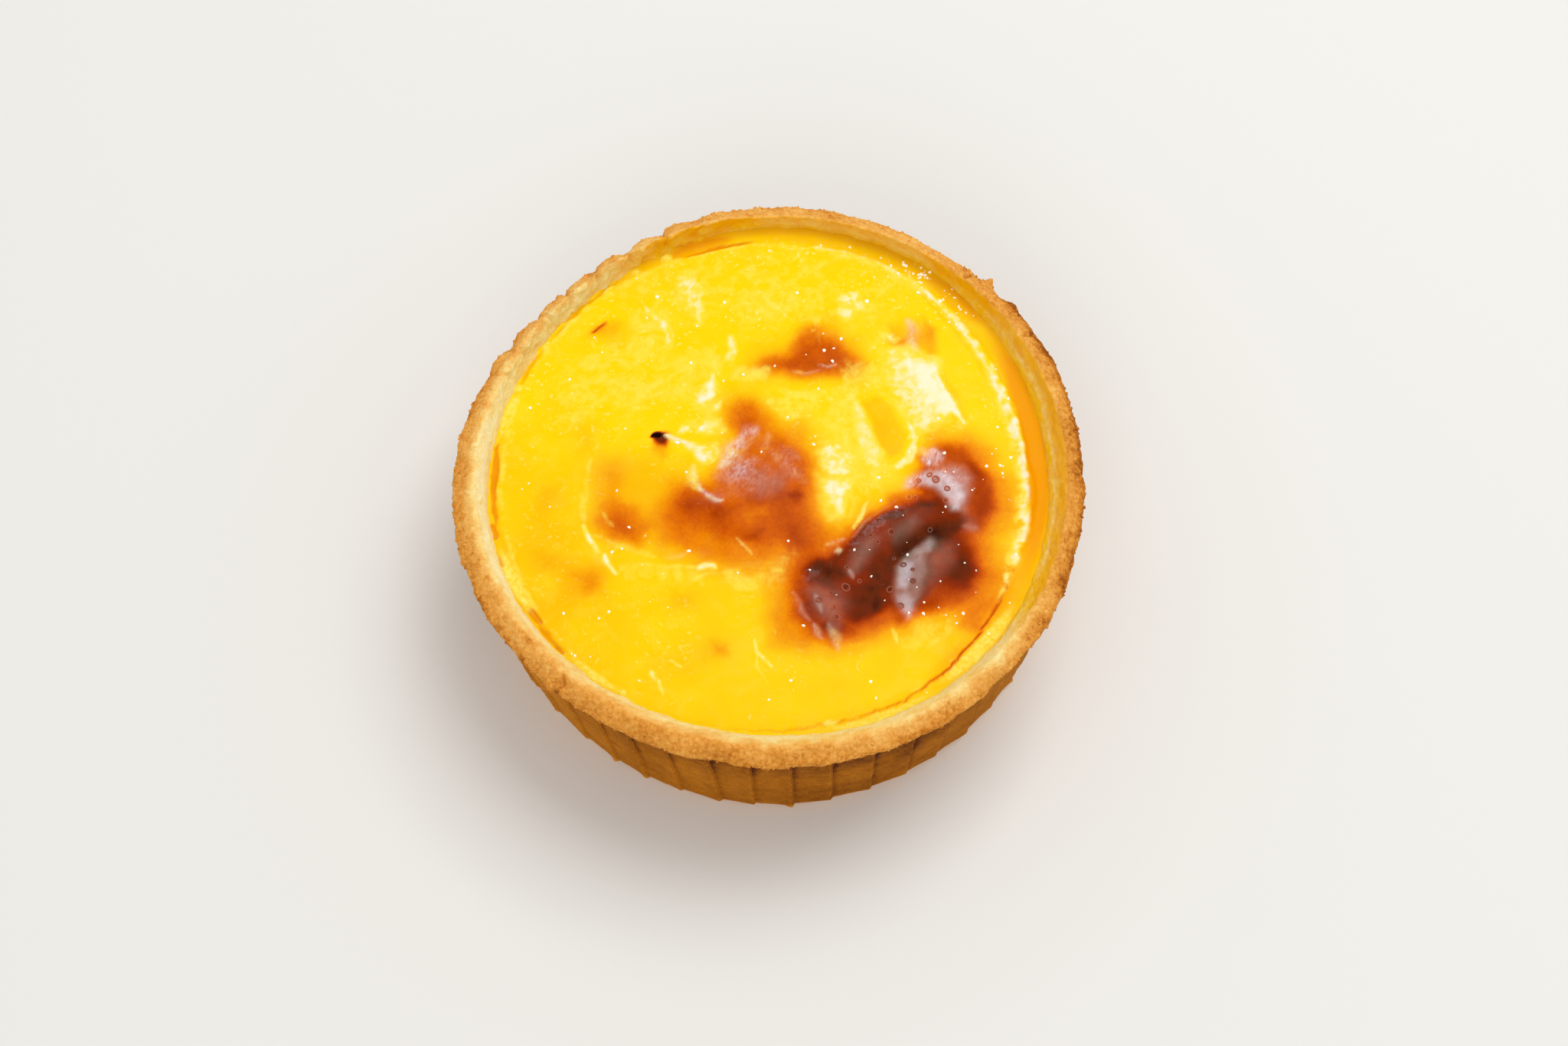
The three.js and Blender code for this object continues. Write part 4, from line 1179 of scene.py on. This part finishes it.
# Painted highlights on the scorched skin: strength, how far the edge fades, share that is broken up,
# outline.
PAINTED_GLEAMS = [
    # The lobe on the right of the burn.
    (0.2, 0.8, 0.1, (20.2, -18.6), (20.5, -16.6), (21.6, -15.1), (23.6, -14.2), (25.4, -15.2),
     (25.2, -18), (24.4, -20.6), (23.8, -23), (23.2, -25.4), (22.2, -25.8), (20.7, -23.8), (20, -21.6)),
    (0.3, 0.7, 0.1, (20.4, -18.8), (20.7, -16.8), (21.8, -15.4), (23.2, -16), (23, -18.6), (22, -20.6),
     (20.6, -20.4)),
    (0.26, 0.6, 0.1, (20.6, -21.6), (22, -21), (23.4, -22.4), (23, -25.2), (22.2, -25.6), (20.9, -23.8)),
    (0.3, 0.7, 0.2, (23.5, -13.8), (24.8, -12.5), (26.2, -11.3), (27, -12), (26.2, -14), (24.6, -15)),
    (0.12, 2, 0.1, (23, -15), (27, -12), (30, -12.6), (29.6, -15.6), (27, -18.4), (24, -22)),
    # The ridge, and the lobe at its lower end.
    (0.13, 1.3, 0.1, (12.4, -17.4), (13.4, -14.2), (15.8, -11), (17.6, -11.8), (16.4, -14), (14, -17.6)),
    (0.12, 1.3, 0.1, (19.6, -11), (21.4, -9.2), (23.8, -7.4), (24.6, -8.6), (22.6, -10.6), (20.6, -12)),
    (0.07, 1.6, 0.3, (5.8, -20.4), (8, -19.2), (11.6, -20.8), (12.4, -23.6), (10.8, -27), (8.6, -25.6),
     (6.4, -23)),
    # The film over the middle.
    (0.13, 1.4, 0.4, (-9.4, -3), (-7.4, 0.6), (-5, 3.4), (-2, 3.4), (0.6, 1), (1.6, -2), (-1, -3.8),
     (-5, -3.6)),
    # The lobe at its upper end.
    (0.62, 0.9, 0.2, (22, -2), (22.6, -0.4), (24.4, 0.8), (27, 1), (29.4, 0.4), (31, -1.2), (32, -3.6),
     (31.4, -6.2), (30.2, -6.4), (29.4, -4.2), (27.4, -2.2), (25, -1.3), (23.4, -1.7)),
    (0.36, 1.1, 0.2, (28, 0.8), (30, 2.2), (32, 2), (33.3, -0.4), (33.1, -3.4), (32.2, -6.4), (31, -3),
     (30, -0.8)),
    (0.6, 0.8, 0.3, (25, 3.6), (25.4, 5.4), (27, 5.6), (28.9, 4.3), (29.1, 3.2), (27.6, 2), (26, 2.2)),
    (0.08, 1.2, 0.4, (31.4, -6.6), (33.6, -7.4), (34.4, -9.6), (32.2, -9.4)),
]

# Burst bubbles in the scorched skin: x, y, radius.
BUBBLES = [
    (27.5, -0.6, 0.55), (26.5, 0.3, 0.4), (29.4, -2.3, 0.4), (24.7, -0.7, 0.35), (22.9, -3.7, 0.45),
    (24, -3.7, 0.35), (29, -4.5, 0.35), (19.8, -10.5, 0.55), (16.3, -11.1, 0.4), (17.5, -12.3, 0.35),
    (12.3, -16.6, 0.3), (12.1, -20.4, 0.65), (14.4, -19.1, 0.3), (9.7, -21.5, 0.3), (7.7, -22.8, 0.45),
    (10.2, -24.1, 0.35), (10.5, -25.8, 0.5), (21.7, -16.2, 0.4), (23.2, -17.2, 0.25), (23.2, -19.3, 0.4),
    (21, -23.6, 0.5), (19.4, -20.6, 0.5), (26.3, -9.8, 0.35), (20.2, -15, 0.25),
]

# The skin's edge, where it has drawn back from the crust: angle, radius, and how milk-white (partly
# a painted reflection), how cracked and how deep the gap beside it is there.
SKIN_EDGE = [
    (-180, 46.3, 0.3, 0, 0.4),
    (-150, 45.8, 0.2, 0, 0.2),
    (-118, 45.6, 0, 0, 0),
    (-94, 45.2, 0, 0.25, 0.1),
    (-78, 44.9, 0.1, 0.45, 0.3),
    (-62, 45.2, 0, 0.6, 0.35),
    (-48, 44.6, 0, 0.85, 0.4),
    (-34, 43.7, 0, 0.6, 0.5),
    (-25, 43.4, 0.5, 0.3, 0.7),
    (-17, 43.6, 0.85, 0, 0.9),
    (-4, 44.1, 0.95, 0, 1),
    (8, 43.2, 0.95, 0, 1),
    (20, 43.2, 0.8, 0, 1),
    (30, 43.8, 0.65, 0, 1),
    (39, 44.5, 0.6, 0, 0.9),
    (47, 45.2, 0.6, 0, 0.8),
    (55, 46, 0.6, 0, 0.5),
    (66, 46.3, 0.35, 0, 0.35),
    (80, 46.2, 0.3, 0, 0.35),
    (92, 46.5, 0.2, 0.1, 0.45),
    (108, 46.4, 0.2, 0, 0.6),
    (122, 46.5, 0.25, 0, 0.4),
    (140, 46.7, 0.2, 0, 0.3),
    (152, 46.6, 0.25, 0, 0.3),
    (165, 46.4, 0.2, 0, 0.4),
    (180, 46.3, 0.3, 0, 0.4),
]

# Marks in the gap along the crust: angle, half-width in degrees, distance in from the crust,
# half-depth, rise, and how amber (at the back partly painted shade) and how torn.
GAP_MARKS = [
    (-175, 7, 1, 0.45, -0.3, 0.7, 0),
    (-168, 2.2, 0.4, 0.7, -0.3, 1, 0),
    (-156, 9, 0.9, 1.2, 0.1, 0, 0.85),
    (-161, 1.6, 0.3, 0.5, -0.3, 0.9, 0),
    (-147, 2.6, 1, 0.7, -0.3, 1, 0),
    (-141, 5, 0.5, 0.6, -0.3, 0.35, 0),
    (-138, 1.6, 0.2, 0.35, -0.2, 0.9, 0),
    (-129, 7, 0.6, 0.8, 0.1, 0, 0.7),
    (-122, 1, 0.6, 0.6, 0.3, 0, 1),
    (-78, 2, 1.4, 0.7, 0.1, 0, 0.7),
    (-68, 13, 0.5, 0.9, 0, 0, 0.6),
    (-42, 13, 1.2, 1.4, 0.1, 0, 0.8),
    (6, 34, 1.6, 2.4, -0.1, 0.75, 0),
    (4, 16, 2.4, 1.4, 0, 0.55, 0),
    (48, 10, 1.4, 1.8, 0, 0.35, 0),
    (102, 9, 2.4, 0.5, -0.35, 0.9, 0),
    (106, 9, 1.3, 1.6, -0.1, 0.5, 0),
    (74, 28, 1.4, 2.2, 0.15, 0.3, 0),
    (113.5, 1.6, 1.2, 0.9, 0.3, 0, 0.9),
    (121, 1.2, 0.8, 0.7, 0.2, 0, 0.7),
    (134, 14, 0.5, 0.3, -0.3, 0.4, 0),
    (128, 2.2, 0.9, 0.5, 0.15, 0, 0.8),
    (141, 3, 0.9, 0.5, 0.15, 0, 0.7),
    (147, 1.4, 0.5, 0.5, 0.2, 0, 0.9),
    (153, 6, 0.5, 0.3, -0.3, 0.4, 0),
    (158.5, 1.2, 0.6, 0.8, 0.3, 0, 1),
    (165, 6, 0.9, 1, 0.1, 0, 0.8),
    (174, 2.6, 0.6, 0.35, -0.3, 1, 0),
    (179, 5, 1, 0.8, -0.2, 0.8, 0),
]

# Where sugar lies thick on the custard: how thick, how far the edge fades, share broken up, outline.
SUGARED = [
    (64, 0.8, 0.4, (24, 42.6), (26.2, 43), (29, 39.6), (28, 38), (25.2, 39.4)),
    (22, 2, 0.5, (20, 44), (26, 44), (33, 36), (35, 31), (31, 31), (26, 37), (20, 41)),
    (8, 2, 0.5, (37, 10), (40, 9), (40, 0), (37, 1)),
    (1.3, 4, 0.5, (2, -28), (34, -28), (40, 0), (30, 8), (16, -2), (4, -14)),
    (1.5, 3, 0.5, (-6, 20), (8, 30), (18, 22), (4, 18)),
]

CUSTARD_CELLS = 296  # squares along each side of the skin's grid
CUSTARD_REACH = 0.35  # how far the custard runs into the pastry, so that no gap shows
CUSTARD_INSET = 1.6  # how much narrower the custard's foot is than the hollow in the case
SKIN_SOFTENING = 22  # passes that even out the blisters
SKIN_DOME = 0.3  # how far the skin's middle stands above its edge
BUBBLE_COLUMNS, BUBBLE_SIDES = 18, 7  # round a bubble, and round the tube of its rim


class Skin:
    """The custard's skin: the height of each point above the brim, and what its finish reads."""

    def __init__(self, x, y):
        self.x, self.y = x, y
        self.flat = np.stack([x, y, 0 * x], 1)
        self.angle = np.degrees(np.arctan2(y, x))
        self.radius = np.hypot(x, y)
        self.inward = brim_radius(self.angle) - self.radius + 0.25 * self.lumps(2, 84)
        # The outlines of blisters and burns wander by this noise, and finer marks by half of it.
        wandered_x = x + 0.8 * self.lumps(4, 71) + 0.15 * self.lumps(1.5, 73)
        wandered_y = y + 0.8 * self.lumps(4, 72) + 0.15 * self.lumps(1.5, 74)
        self.wandered = wandered_x, wandered_y
        self.half_wandered = (x + wandered_x) / 2, (y + wandered_y) / 2
        self.breaks = smooth(-0.25, 0.35, self.lumps(1.5, 78, 3))
        self.swell_blisters()
        self.scorch()
        # Milk-white patches, partly a painted reflection, and painted highlights on the scorched skin.
        self.milk_and_reflection = patches(*self.half_wandered, MILKY_AND_REFLECTED, self.breaks)
        self.painted_sheen = patches(*self.half_wandered, PAINTED_GLEAMS, self.breaks)
        self.draw_strokes()
        self.burst_bubbles()
        self.draw_edge()
        self.fill_gap()
        self.undulate()

    def lumps(self, size, seed, octaves=1):
        return fractal(self.flat, size, octaves, seed)

    def swell_blisters(self):
        height = np.zeros_like(self.x)
        for rise, width, *outline in SKIN_FORMS:
            share = np.clip(outline_depth(*self.wandered, outline) / width, 0, 1)
            height += rise * share * (2 - share)
        dome = SKIN_DOME * (1 - (self.radius / BRIM_RADIUS) ** 2)
        self.height = softened(height, SKIN_SOFTENING) + dome

    def scorch(self):
        """Toasts the patches, and faintly the front. The sides of the front half are darkened a
        little as painted shade.
        """
        clear = np.ones_like(self.x)
        for strength, fade, *outline in TOASTED:
            clear *= 1 - strength * smooth(-fade, fade, outline_depth(*self.wandered, outline))
        toast = 1 - clear
        toast *= 1 + 0.1 * self.lumps(5, 75) + 0.05 * self.lumps(2.2, 76, 2)
        toast += clear * (0.09 * smooth(12, -18, self.y) + 0.04 * self.lumps(7, 77))
        # Painted shade: the sides of the front half are toasted a little, where the light falls off.
        toast += 0.08 * clear * smooth(20, 36, np.abs(self.x)) * smooth(18, 0, self.y)
        self.toast = toast

    def draw_strokes(self):
        for width, rise, milky_and_reflecting, burnt, painted_gleam, *points in STROKES:
            gap, place = line_distance(*self.half_wandered, points)
            taper = np.sqrt(np.sin(np.pi * np.clip(0.08 + 0.84 * place, 0, 1)))
            stroke = gauss(gap / (width * taper))
            self.height += rise * stroke
            # Milk white that is partly a painted reflection, toast, and a painted highlight.
            self.milk_and_reflection += milky_and_reflecting * stroke * (0.6 + 0.4 * self.breaks)
            self.toast += burnt * stroke
            self.painted_sheen += painted_gleam * stroke

    def burst_bubbles(self):
        """Dents the skin where bubbles have burst. They are darker and break up the painted highlights.
        """
        pitted = np.zeros_like(self.x)
        for bubble_x, bubble_y, size in BUBBLES:
            gap = np.hypot(self.x - bubble_x, self.y - bubble_y) / size
            self.height += 0.1 * size * (gauss((gap - 1) / 0.4) - 2.5 * gauss(gap / 0.7))
            pitted += gauss(gap / 0.8)
        self.toast += 0.06 * pitted
        self.painted_sheen *= 1 - 0.55 * np.clip(pitted, 0, 1)
        self.height += 0.08 * np.clip(self.painted_sheen, 0, 0.4) * self.lumps(1.2, 94, 2)

    def draw_edge(self):
        """The skin's edge, milk-white in places (partly a painted reflection) and cracked in others, and
        the gap that opens beyond it.
        """
        edge, milky_and_reflecting, cracked, deep = table_values(SKIN_EDGE, self.angle)
        beyond = self.radius - edge - 0.34 * self.lumps(3, 81) - 0.22 * self.lumps(1.2, 82, 2)
        opened = smooth(-0.1, 0.8, beyond) * deep
        self.height += 0.45 * milky_and_reflecting * gauss((beyond + 0.5) / 0.7) - 0.65 * opened
        ridge = milky_and_reflecting * gauss((beyond + 1.0 * milky_and_reflecting) / (0.25 + 0.95 * milky_and_reflecting))
        # The milk-white ridge along the edge, partly a painted reflection.
        self.milk_and_reflection += ridge * (0.75 + 1.1 * self.lumps(2.0, 83, 3))
        line = cracked * gauss(beyond / 0.22)
        self.height -= 0.3 * line
        self.toast += 0.55 * line + 0.1 * cracked * gauss((beyond + 0.8) / 0.9)
        self.amber = 0.25 * opened

    def fill_gap(self):
        """Where the gap along the crust is amber and where it is torn. Next to the crust at the back
        and the back right, the amber is painted shade.
        """
        # Painted shade: next to the crust along the back, where the crust shades it, the custard is
        # amber.
        shaded_back = around(self.angle, 24, 116, 12) - 0.25 * around(self.angle, 54, 88, 8)
        self.amber += 0.5 * smooth(1.8, 0.2, self.inward) * shaded_back
        self.torn = np.zeros_like(self.x)
        for at, half, depth, wide, rise, dark, loose in GAP_MARKS:
            spread = np.hypot(turn_between(self.angle, at) / half, (self.inward - depth) / wide)
            mark = mound(spread, 0.45)
            self.height += rise * mark
            self.amber += dark * mark
            self.toast += 0.4 * dark * mark * (wide < 1)
            self.torn += loose * mark
        self.height += 0.2 * self.torn * self.lumps(0.9, 85, 2)
        self.amber *= 1 - np.clip(self.torn, 0, 1)

    def undulate(self):
        """Undulations, finer and sharper where the skin is scorched, and a rise up the crust."""
        self.height += 0.12 * self.lumps(12, 91) + 0.04 * self.lumps(4.5, 92)
        self.height += (0.012 + 0.02 * smooth(0.4, 0.8, self.toast)) * self.lumps(1.8, 93, 2)
        climb = 0.3 + 0.7 * around(self.angle, 50, 110, 15)
        self.height += 0.45 * smooth(1.2, -0.2, self.inward) * climb

    def values(self):
        """What the finish reads, from 0 to 1."""
        names = ("toast", "amber", "milk_and_reflection", "painted_sheen", "torn")
        return {name: np.clip(getattr(self, name), 0, 1) for name in names}


def disc_grid(cells):
    """A square grid of points bent into a disc of radius 1, with its outline."""
    line = np.linspace(-1, 1, cells + 1)
    u, v = np.meshgrid(line, line)
    wide = np.abs(u) >= np.abs(v)
    safe_u = np.where(u == 0, 1, u)
    safe_v = np.where(v == 0, 1, v)
    radius = np.where(wide, u, v)
    quarter = np.where(wide, math.pi / 4 * v / safe_u, math.pi / 2 - math.pi / 4 * u / safe_v)
    x = radius * np.cos(quarter)
    y = radius * np.sin(quarter)
    index = np.arange((cells + 1) ** 2).reshape(cells + 1, cells + 1)
    quads = np.stack([index[:-1, :-1], index[:-1, 1:], index[1:, 1:], index[1:, :-1]], -1)
    outline = np.concatenate([index[0, :-1], index[:-1, -1], index[-1, :0:-1], index[:0:-1, 0]])
    return x.ravel(), y.ravel(), quads.reshape(-1, 4).tolist(), outline


def plug_sides(angle, rim):
    """Rings of points that carry the custard's outline down to its foot."""
    foot = BASE_RADIUS - WALL_THICKNESS - CUSTARD_INSET + BASE_FOLLOW * wave_sum(RIM_WAVES, angle)
    below = [
        (rim - 0.1, BRIM_HEIGHT - 1),
        (rim - 1.0, BRIM_HEIGHT - 3),
        (foot, CUSTARD_FOOT + 1.5),
        (foot - 1.0, CUSTARD_FOOT),
    ]
    return [np.stack([*polar(angle, radius), 0 * angle + height], 1) for radius, height in below]


def make_custard(material):
    """The filling: a plug that follows the case, with the blistered skin as real relief."""
    u, v, faces, outline = disc_grid(CUSTARD_CELLS)
    angle = np.degrees(np.arctan2(v, u))
    edge = brim_radius(angle) + CUSTARD_REACH
    x, y = u * edge, v * edge
    skin = Skin(x, y)
    top = np.stack([x, y, BRIM_HEIGHT + skin.height], 1)
    rings = plug_sides(angle[outline], edge[outline])
    points = np.vstack([top, *rings, [[0, 0, CUSTARD_FOOT]]])
    count = len(outline)
    upper = outline
    for ring in range(len(rings)):
        lower = len(top) + ring * count + np.arange(count)
        faces += np.stack([lower, np.roll(lower, -1), np.roll(upper, -1), upper], 1).tolist()
        upper = lower
    faces += [(len(points) - 1, int(b), int(a)) for a, b in zip(upper, np.roll(upper, -1))]
    custard = make_piece("tart_custard", points, faces)
    custard.data.materials.append(material)
    values = skin.values()
    sugar = 0.3 + patches(x, y, SUGARED, smooth(-0.2, 0.2, skin.lumps(3, 95)))
    values["sugar"] = sugar * smooth(0.2, 0.9, edge - CUSTARD_REACH - np.hypot(x, y))
    for name, value in values.items():
        add_values(custard, name, np.concatenate([value, np.zeros(len(points) - len(top))]))
    return custard, values["toast"]


def make_bubbles(custard, toast, material):
    """The raised rims of the burst bubbles, which follow the skin."""
    skin = np.array([tuple(point.co) for point in custard.data.vertices])[: len(toast)] / MM
    turns = np.arange(BUBBLE_COLUMNS) * math.tau / BUBBLE_COLUMNS
    sides = np.arange(BUBBLE_SIDES) * math.tau / BUBBLE_SIDES
    turn, side = np.meshgrid(turns, sides, indexing="ij")
    points, faces, shade = [], [], []
    for bubble_x, bubble_y, size in BUBBLES:
        tube = 0.09 + 0.12 * size
        away = size * (1 + 0.08 * np.cos(2 * turn + 9 * bubble_x)) + tube * np.cos(side)
        x = (bubble_x + away * np.cos(turn)).ravel()
        y = (bubble_y + away * np.sin(turn)).ravel()
        near = np.argmin((x[:, None] - skin[:, 0]) ** 2 + (y[:, None] - skin[:, 1]) ** 2, axis=1)
        z = skin[near, 2].reshape(turn.shape).mean(1, keepdims=True) + 0.75 * tube * np.sin(side)
        place = len(points) * turn.size + np.arange(turn.size).reshape(turn.shape)
        ahead, over = np.roll(place, -1, 0), np.roll(place, -1, 1)
        both = np.roll(ahead, -1, 1)
        faces += np.stack([place, ahead, both, over], -1).reshape(-1, 4).tolist()
        points.append(np.stack([x, y, z.ravel()], 1))
        shade.append(toast[near])
    rims = make_piece("burst_bubbles", np.vstack(points), faces)
    add_values(rims, "toast", np.clip(np.concatenate(shade) - 0.06, 0, 1))
    # A faint painted highlight on the rims.
    add_values(rims, "painted_sheen", np.full(len(rims.data.vertices), 0.1))
    rims.data.materials.append(material)
    return rims


def make_sugar(custard, material):
    """Sugar grains scattered on the custard, thickest towards the back right."""
    return grow_bits(custard, "sugar_grains", material, "sugar", **GRAINS)


# ---------------------------------------------------------------- the set

FLOOR_HALF = 8000
LAMP_DISTANCE = 1.2
LAMP_TARGET = (0, 0, 0.02)
DAYLIGHT = (1.0, 0.98, 0.95)
ROOM_STRENGTH = 0.6
ROOM_MIRRORED = 0.04  # the room as the skin mirrors it, so that the yellow stays clear
CAMERA_HEIGHT = 65  # degrees above the floor
CAMERA_DISTANCE = 396.5
CAMERA_TARGET = (1.92, 5.13, 0)


def make_floor():
    """A plain pale floor under the tart."""
    half = FLOOR_HALF
    corners = [(-half, -half, 0), (half, -half, 0), (half, half, 0), (-half, half, 0)]
    piece = make_piece("floor", corners, [(0, 1, 2, 3)])
    paint = Paint("pale floor", Roughness=0.7, Base_Color=srgb(236, 237, 235))
    piece.data.materials.append(paint.material)
    piece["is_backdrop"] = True


def aimed(obj, place, target):
    """Puts a light or camera at a place, looking at a target. Both are in metres."""
    obj.location = place
    obj.rotation_mode = "QUATERNION"
    obj.rotation_quaternion = (Vector(target) - Vector(place)).to_track_quat("-Z", "Y")


def direction(azimuth, elevation):
    """Unit vector towards a compass bearing (0 is the front, counted to the right) and height."""
    a, e = math.radians(azimuth), math.radians(elevation)
    return Vector((math.sin(a) * math.cos(e), -math.cos(a) * math.cos(e), math.sin(e)))


def make_lamp(name, azimuth, elevation, size, power, colour):
    """A soft rectangular lamp that shines on the tart."""
    data = bpy.data.lights.new(name, "AREA")
    data.shape = "RECTANGLE"
    data.size, data.size_y = size
    data.energy = power
    data.color = colour
    lamp = add_object(name, data)
    aimed(lamp, direction(azimuth, elevation) * LAMP_DISTANCE, LAMP_TARGET)
    return lamp


def make_light():
    """A pane behind that the skin mirrors, soft lamps behind right and in front, and an even room."""
    pane = make_lamp("pane", 203, 42, (0.5, 0.2), 1.7, (1.0, 1.0, 1.0))
    pane.visible_diffuse = False
    overhead = make_lamp("overhead", 140, 64, (0.7, 0.7), 6.8, DAYLIGHT)
    front = make_lamp("front", 350, 38, (0.6, 0.6), 2.2, (1.0, 0.97, 0.93))
    for lamp in (overhead, front):
        lamp.visible_glossy = False
    room = bpy.data.worlds.new("room")
    room.use_nodes = True
    nodes = Nodes(room.node_tree)
    mirrored = nodes.make("ShaderNodeLightPath").outputs["Is Glossy Ray"]
    strength = nodes.make("ShaderNodeMapRange", {0: mirrored, 3: ROOM_STRENGTH, 4: ROOM_MIRRORED})
    background = room.node_tree.nodes["Background"]
    background.inputs["Color"].default_value = (*DAYLIGHT, 1.0)
    room.node_tree.links.new(strength.outputs[0], background.inputs["Strength"])
    bpy.context.scene.world = room
    bpy.context.scene.view_settings.view_transform = "Standard"


def make_camera():
    """The camera stands in front of the tart and looks steeply down on it."""
    data = bpy.data.cameras.new("camera")
    data.lens = 50
    data.sensor_width = 36
    data.clip_start = 0.01
    camera = add_object("camera", data)
    target = Vector(CAMERA_TARGET) * MM
    aimed(camera, target + direction(0, CAMERA_HEIGHT) * CAMERA_DISTANCE * MM, target)
    bpy.context.scene.camera = camera


def main():
    make_camera()
    make_light()
    make_floor()
    crust, burrs, crumbs = make_crust(crust_finish())
    skin = custard_finish()
    custard, toast = make_custard(skin)
    bubbles = make_bubbles(custard, toast, skin)
    sugar = make_sugar(custard, sugar_finish())
    for piece in (crust, burrs, crumbs, custard, bubbles, sugar):
        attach(piece, "root")
    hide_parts("crust")
    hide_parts("custard")
    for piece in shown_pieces():
        print(piece.name, sum(len(p.vertices) - 2 for p in piece.data.polygons), "triangles")


main()
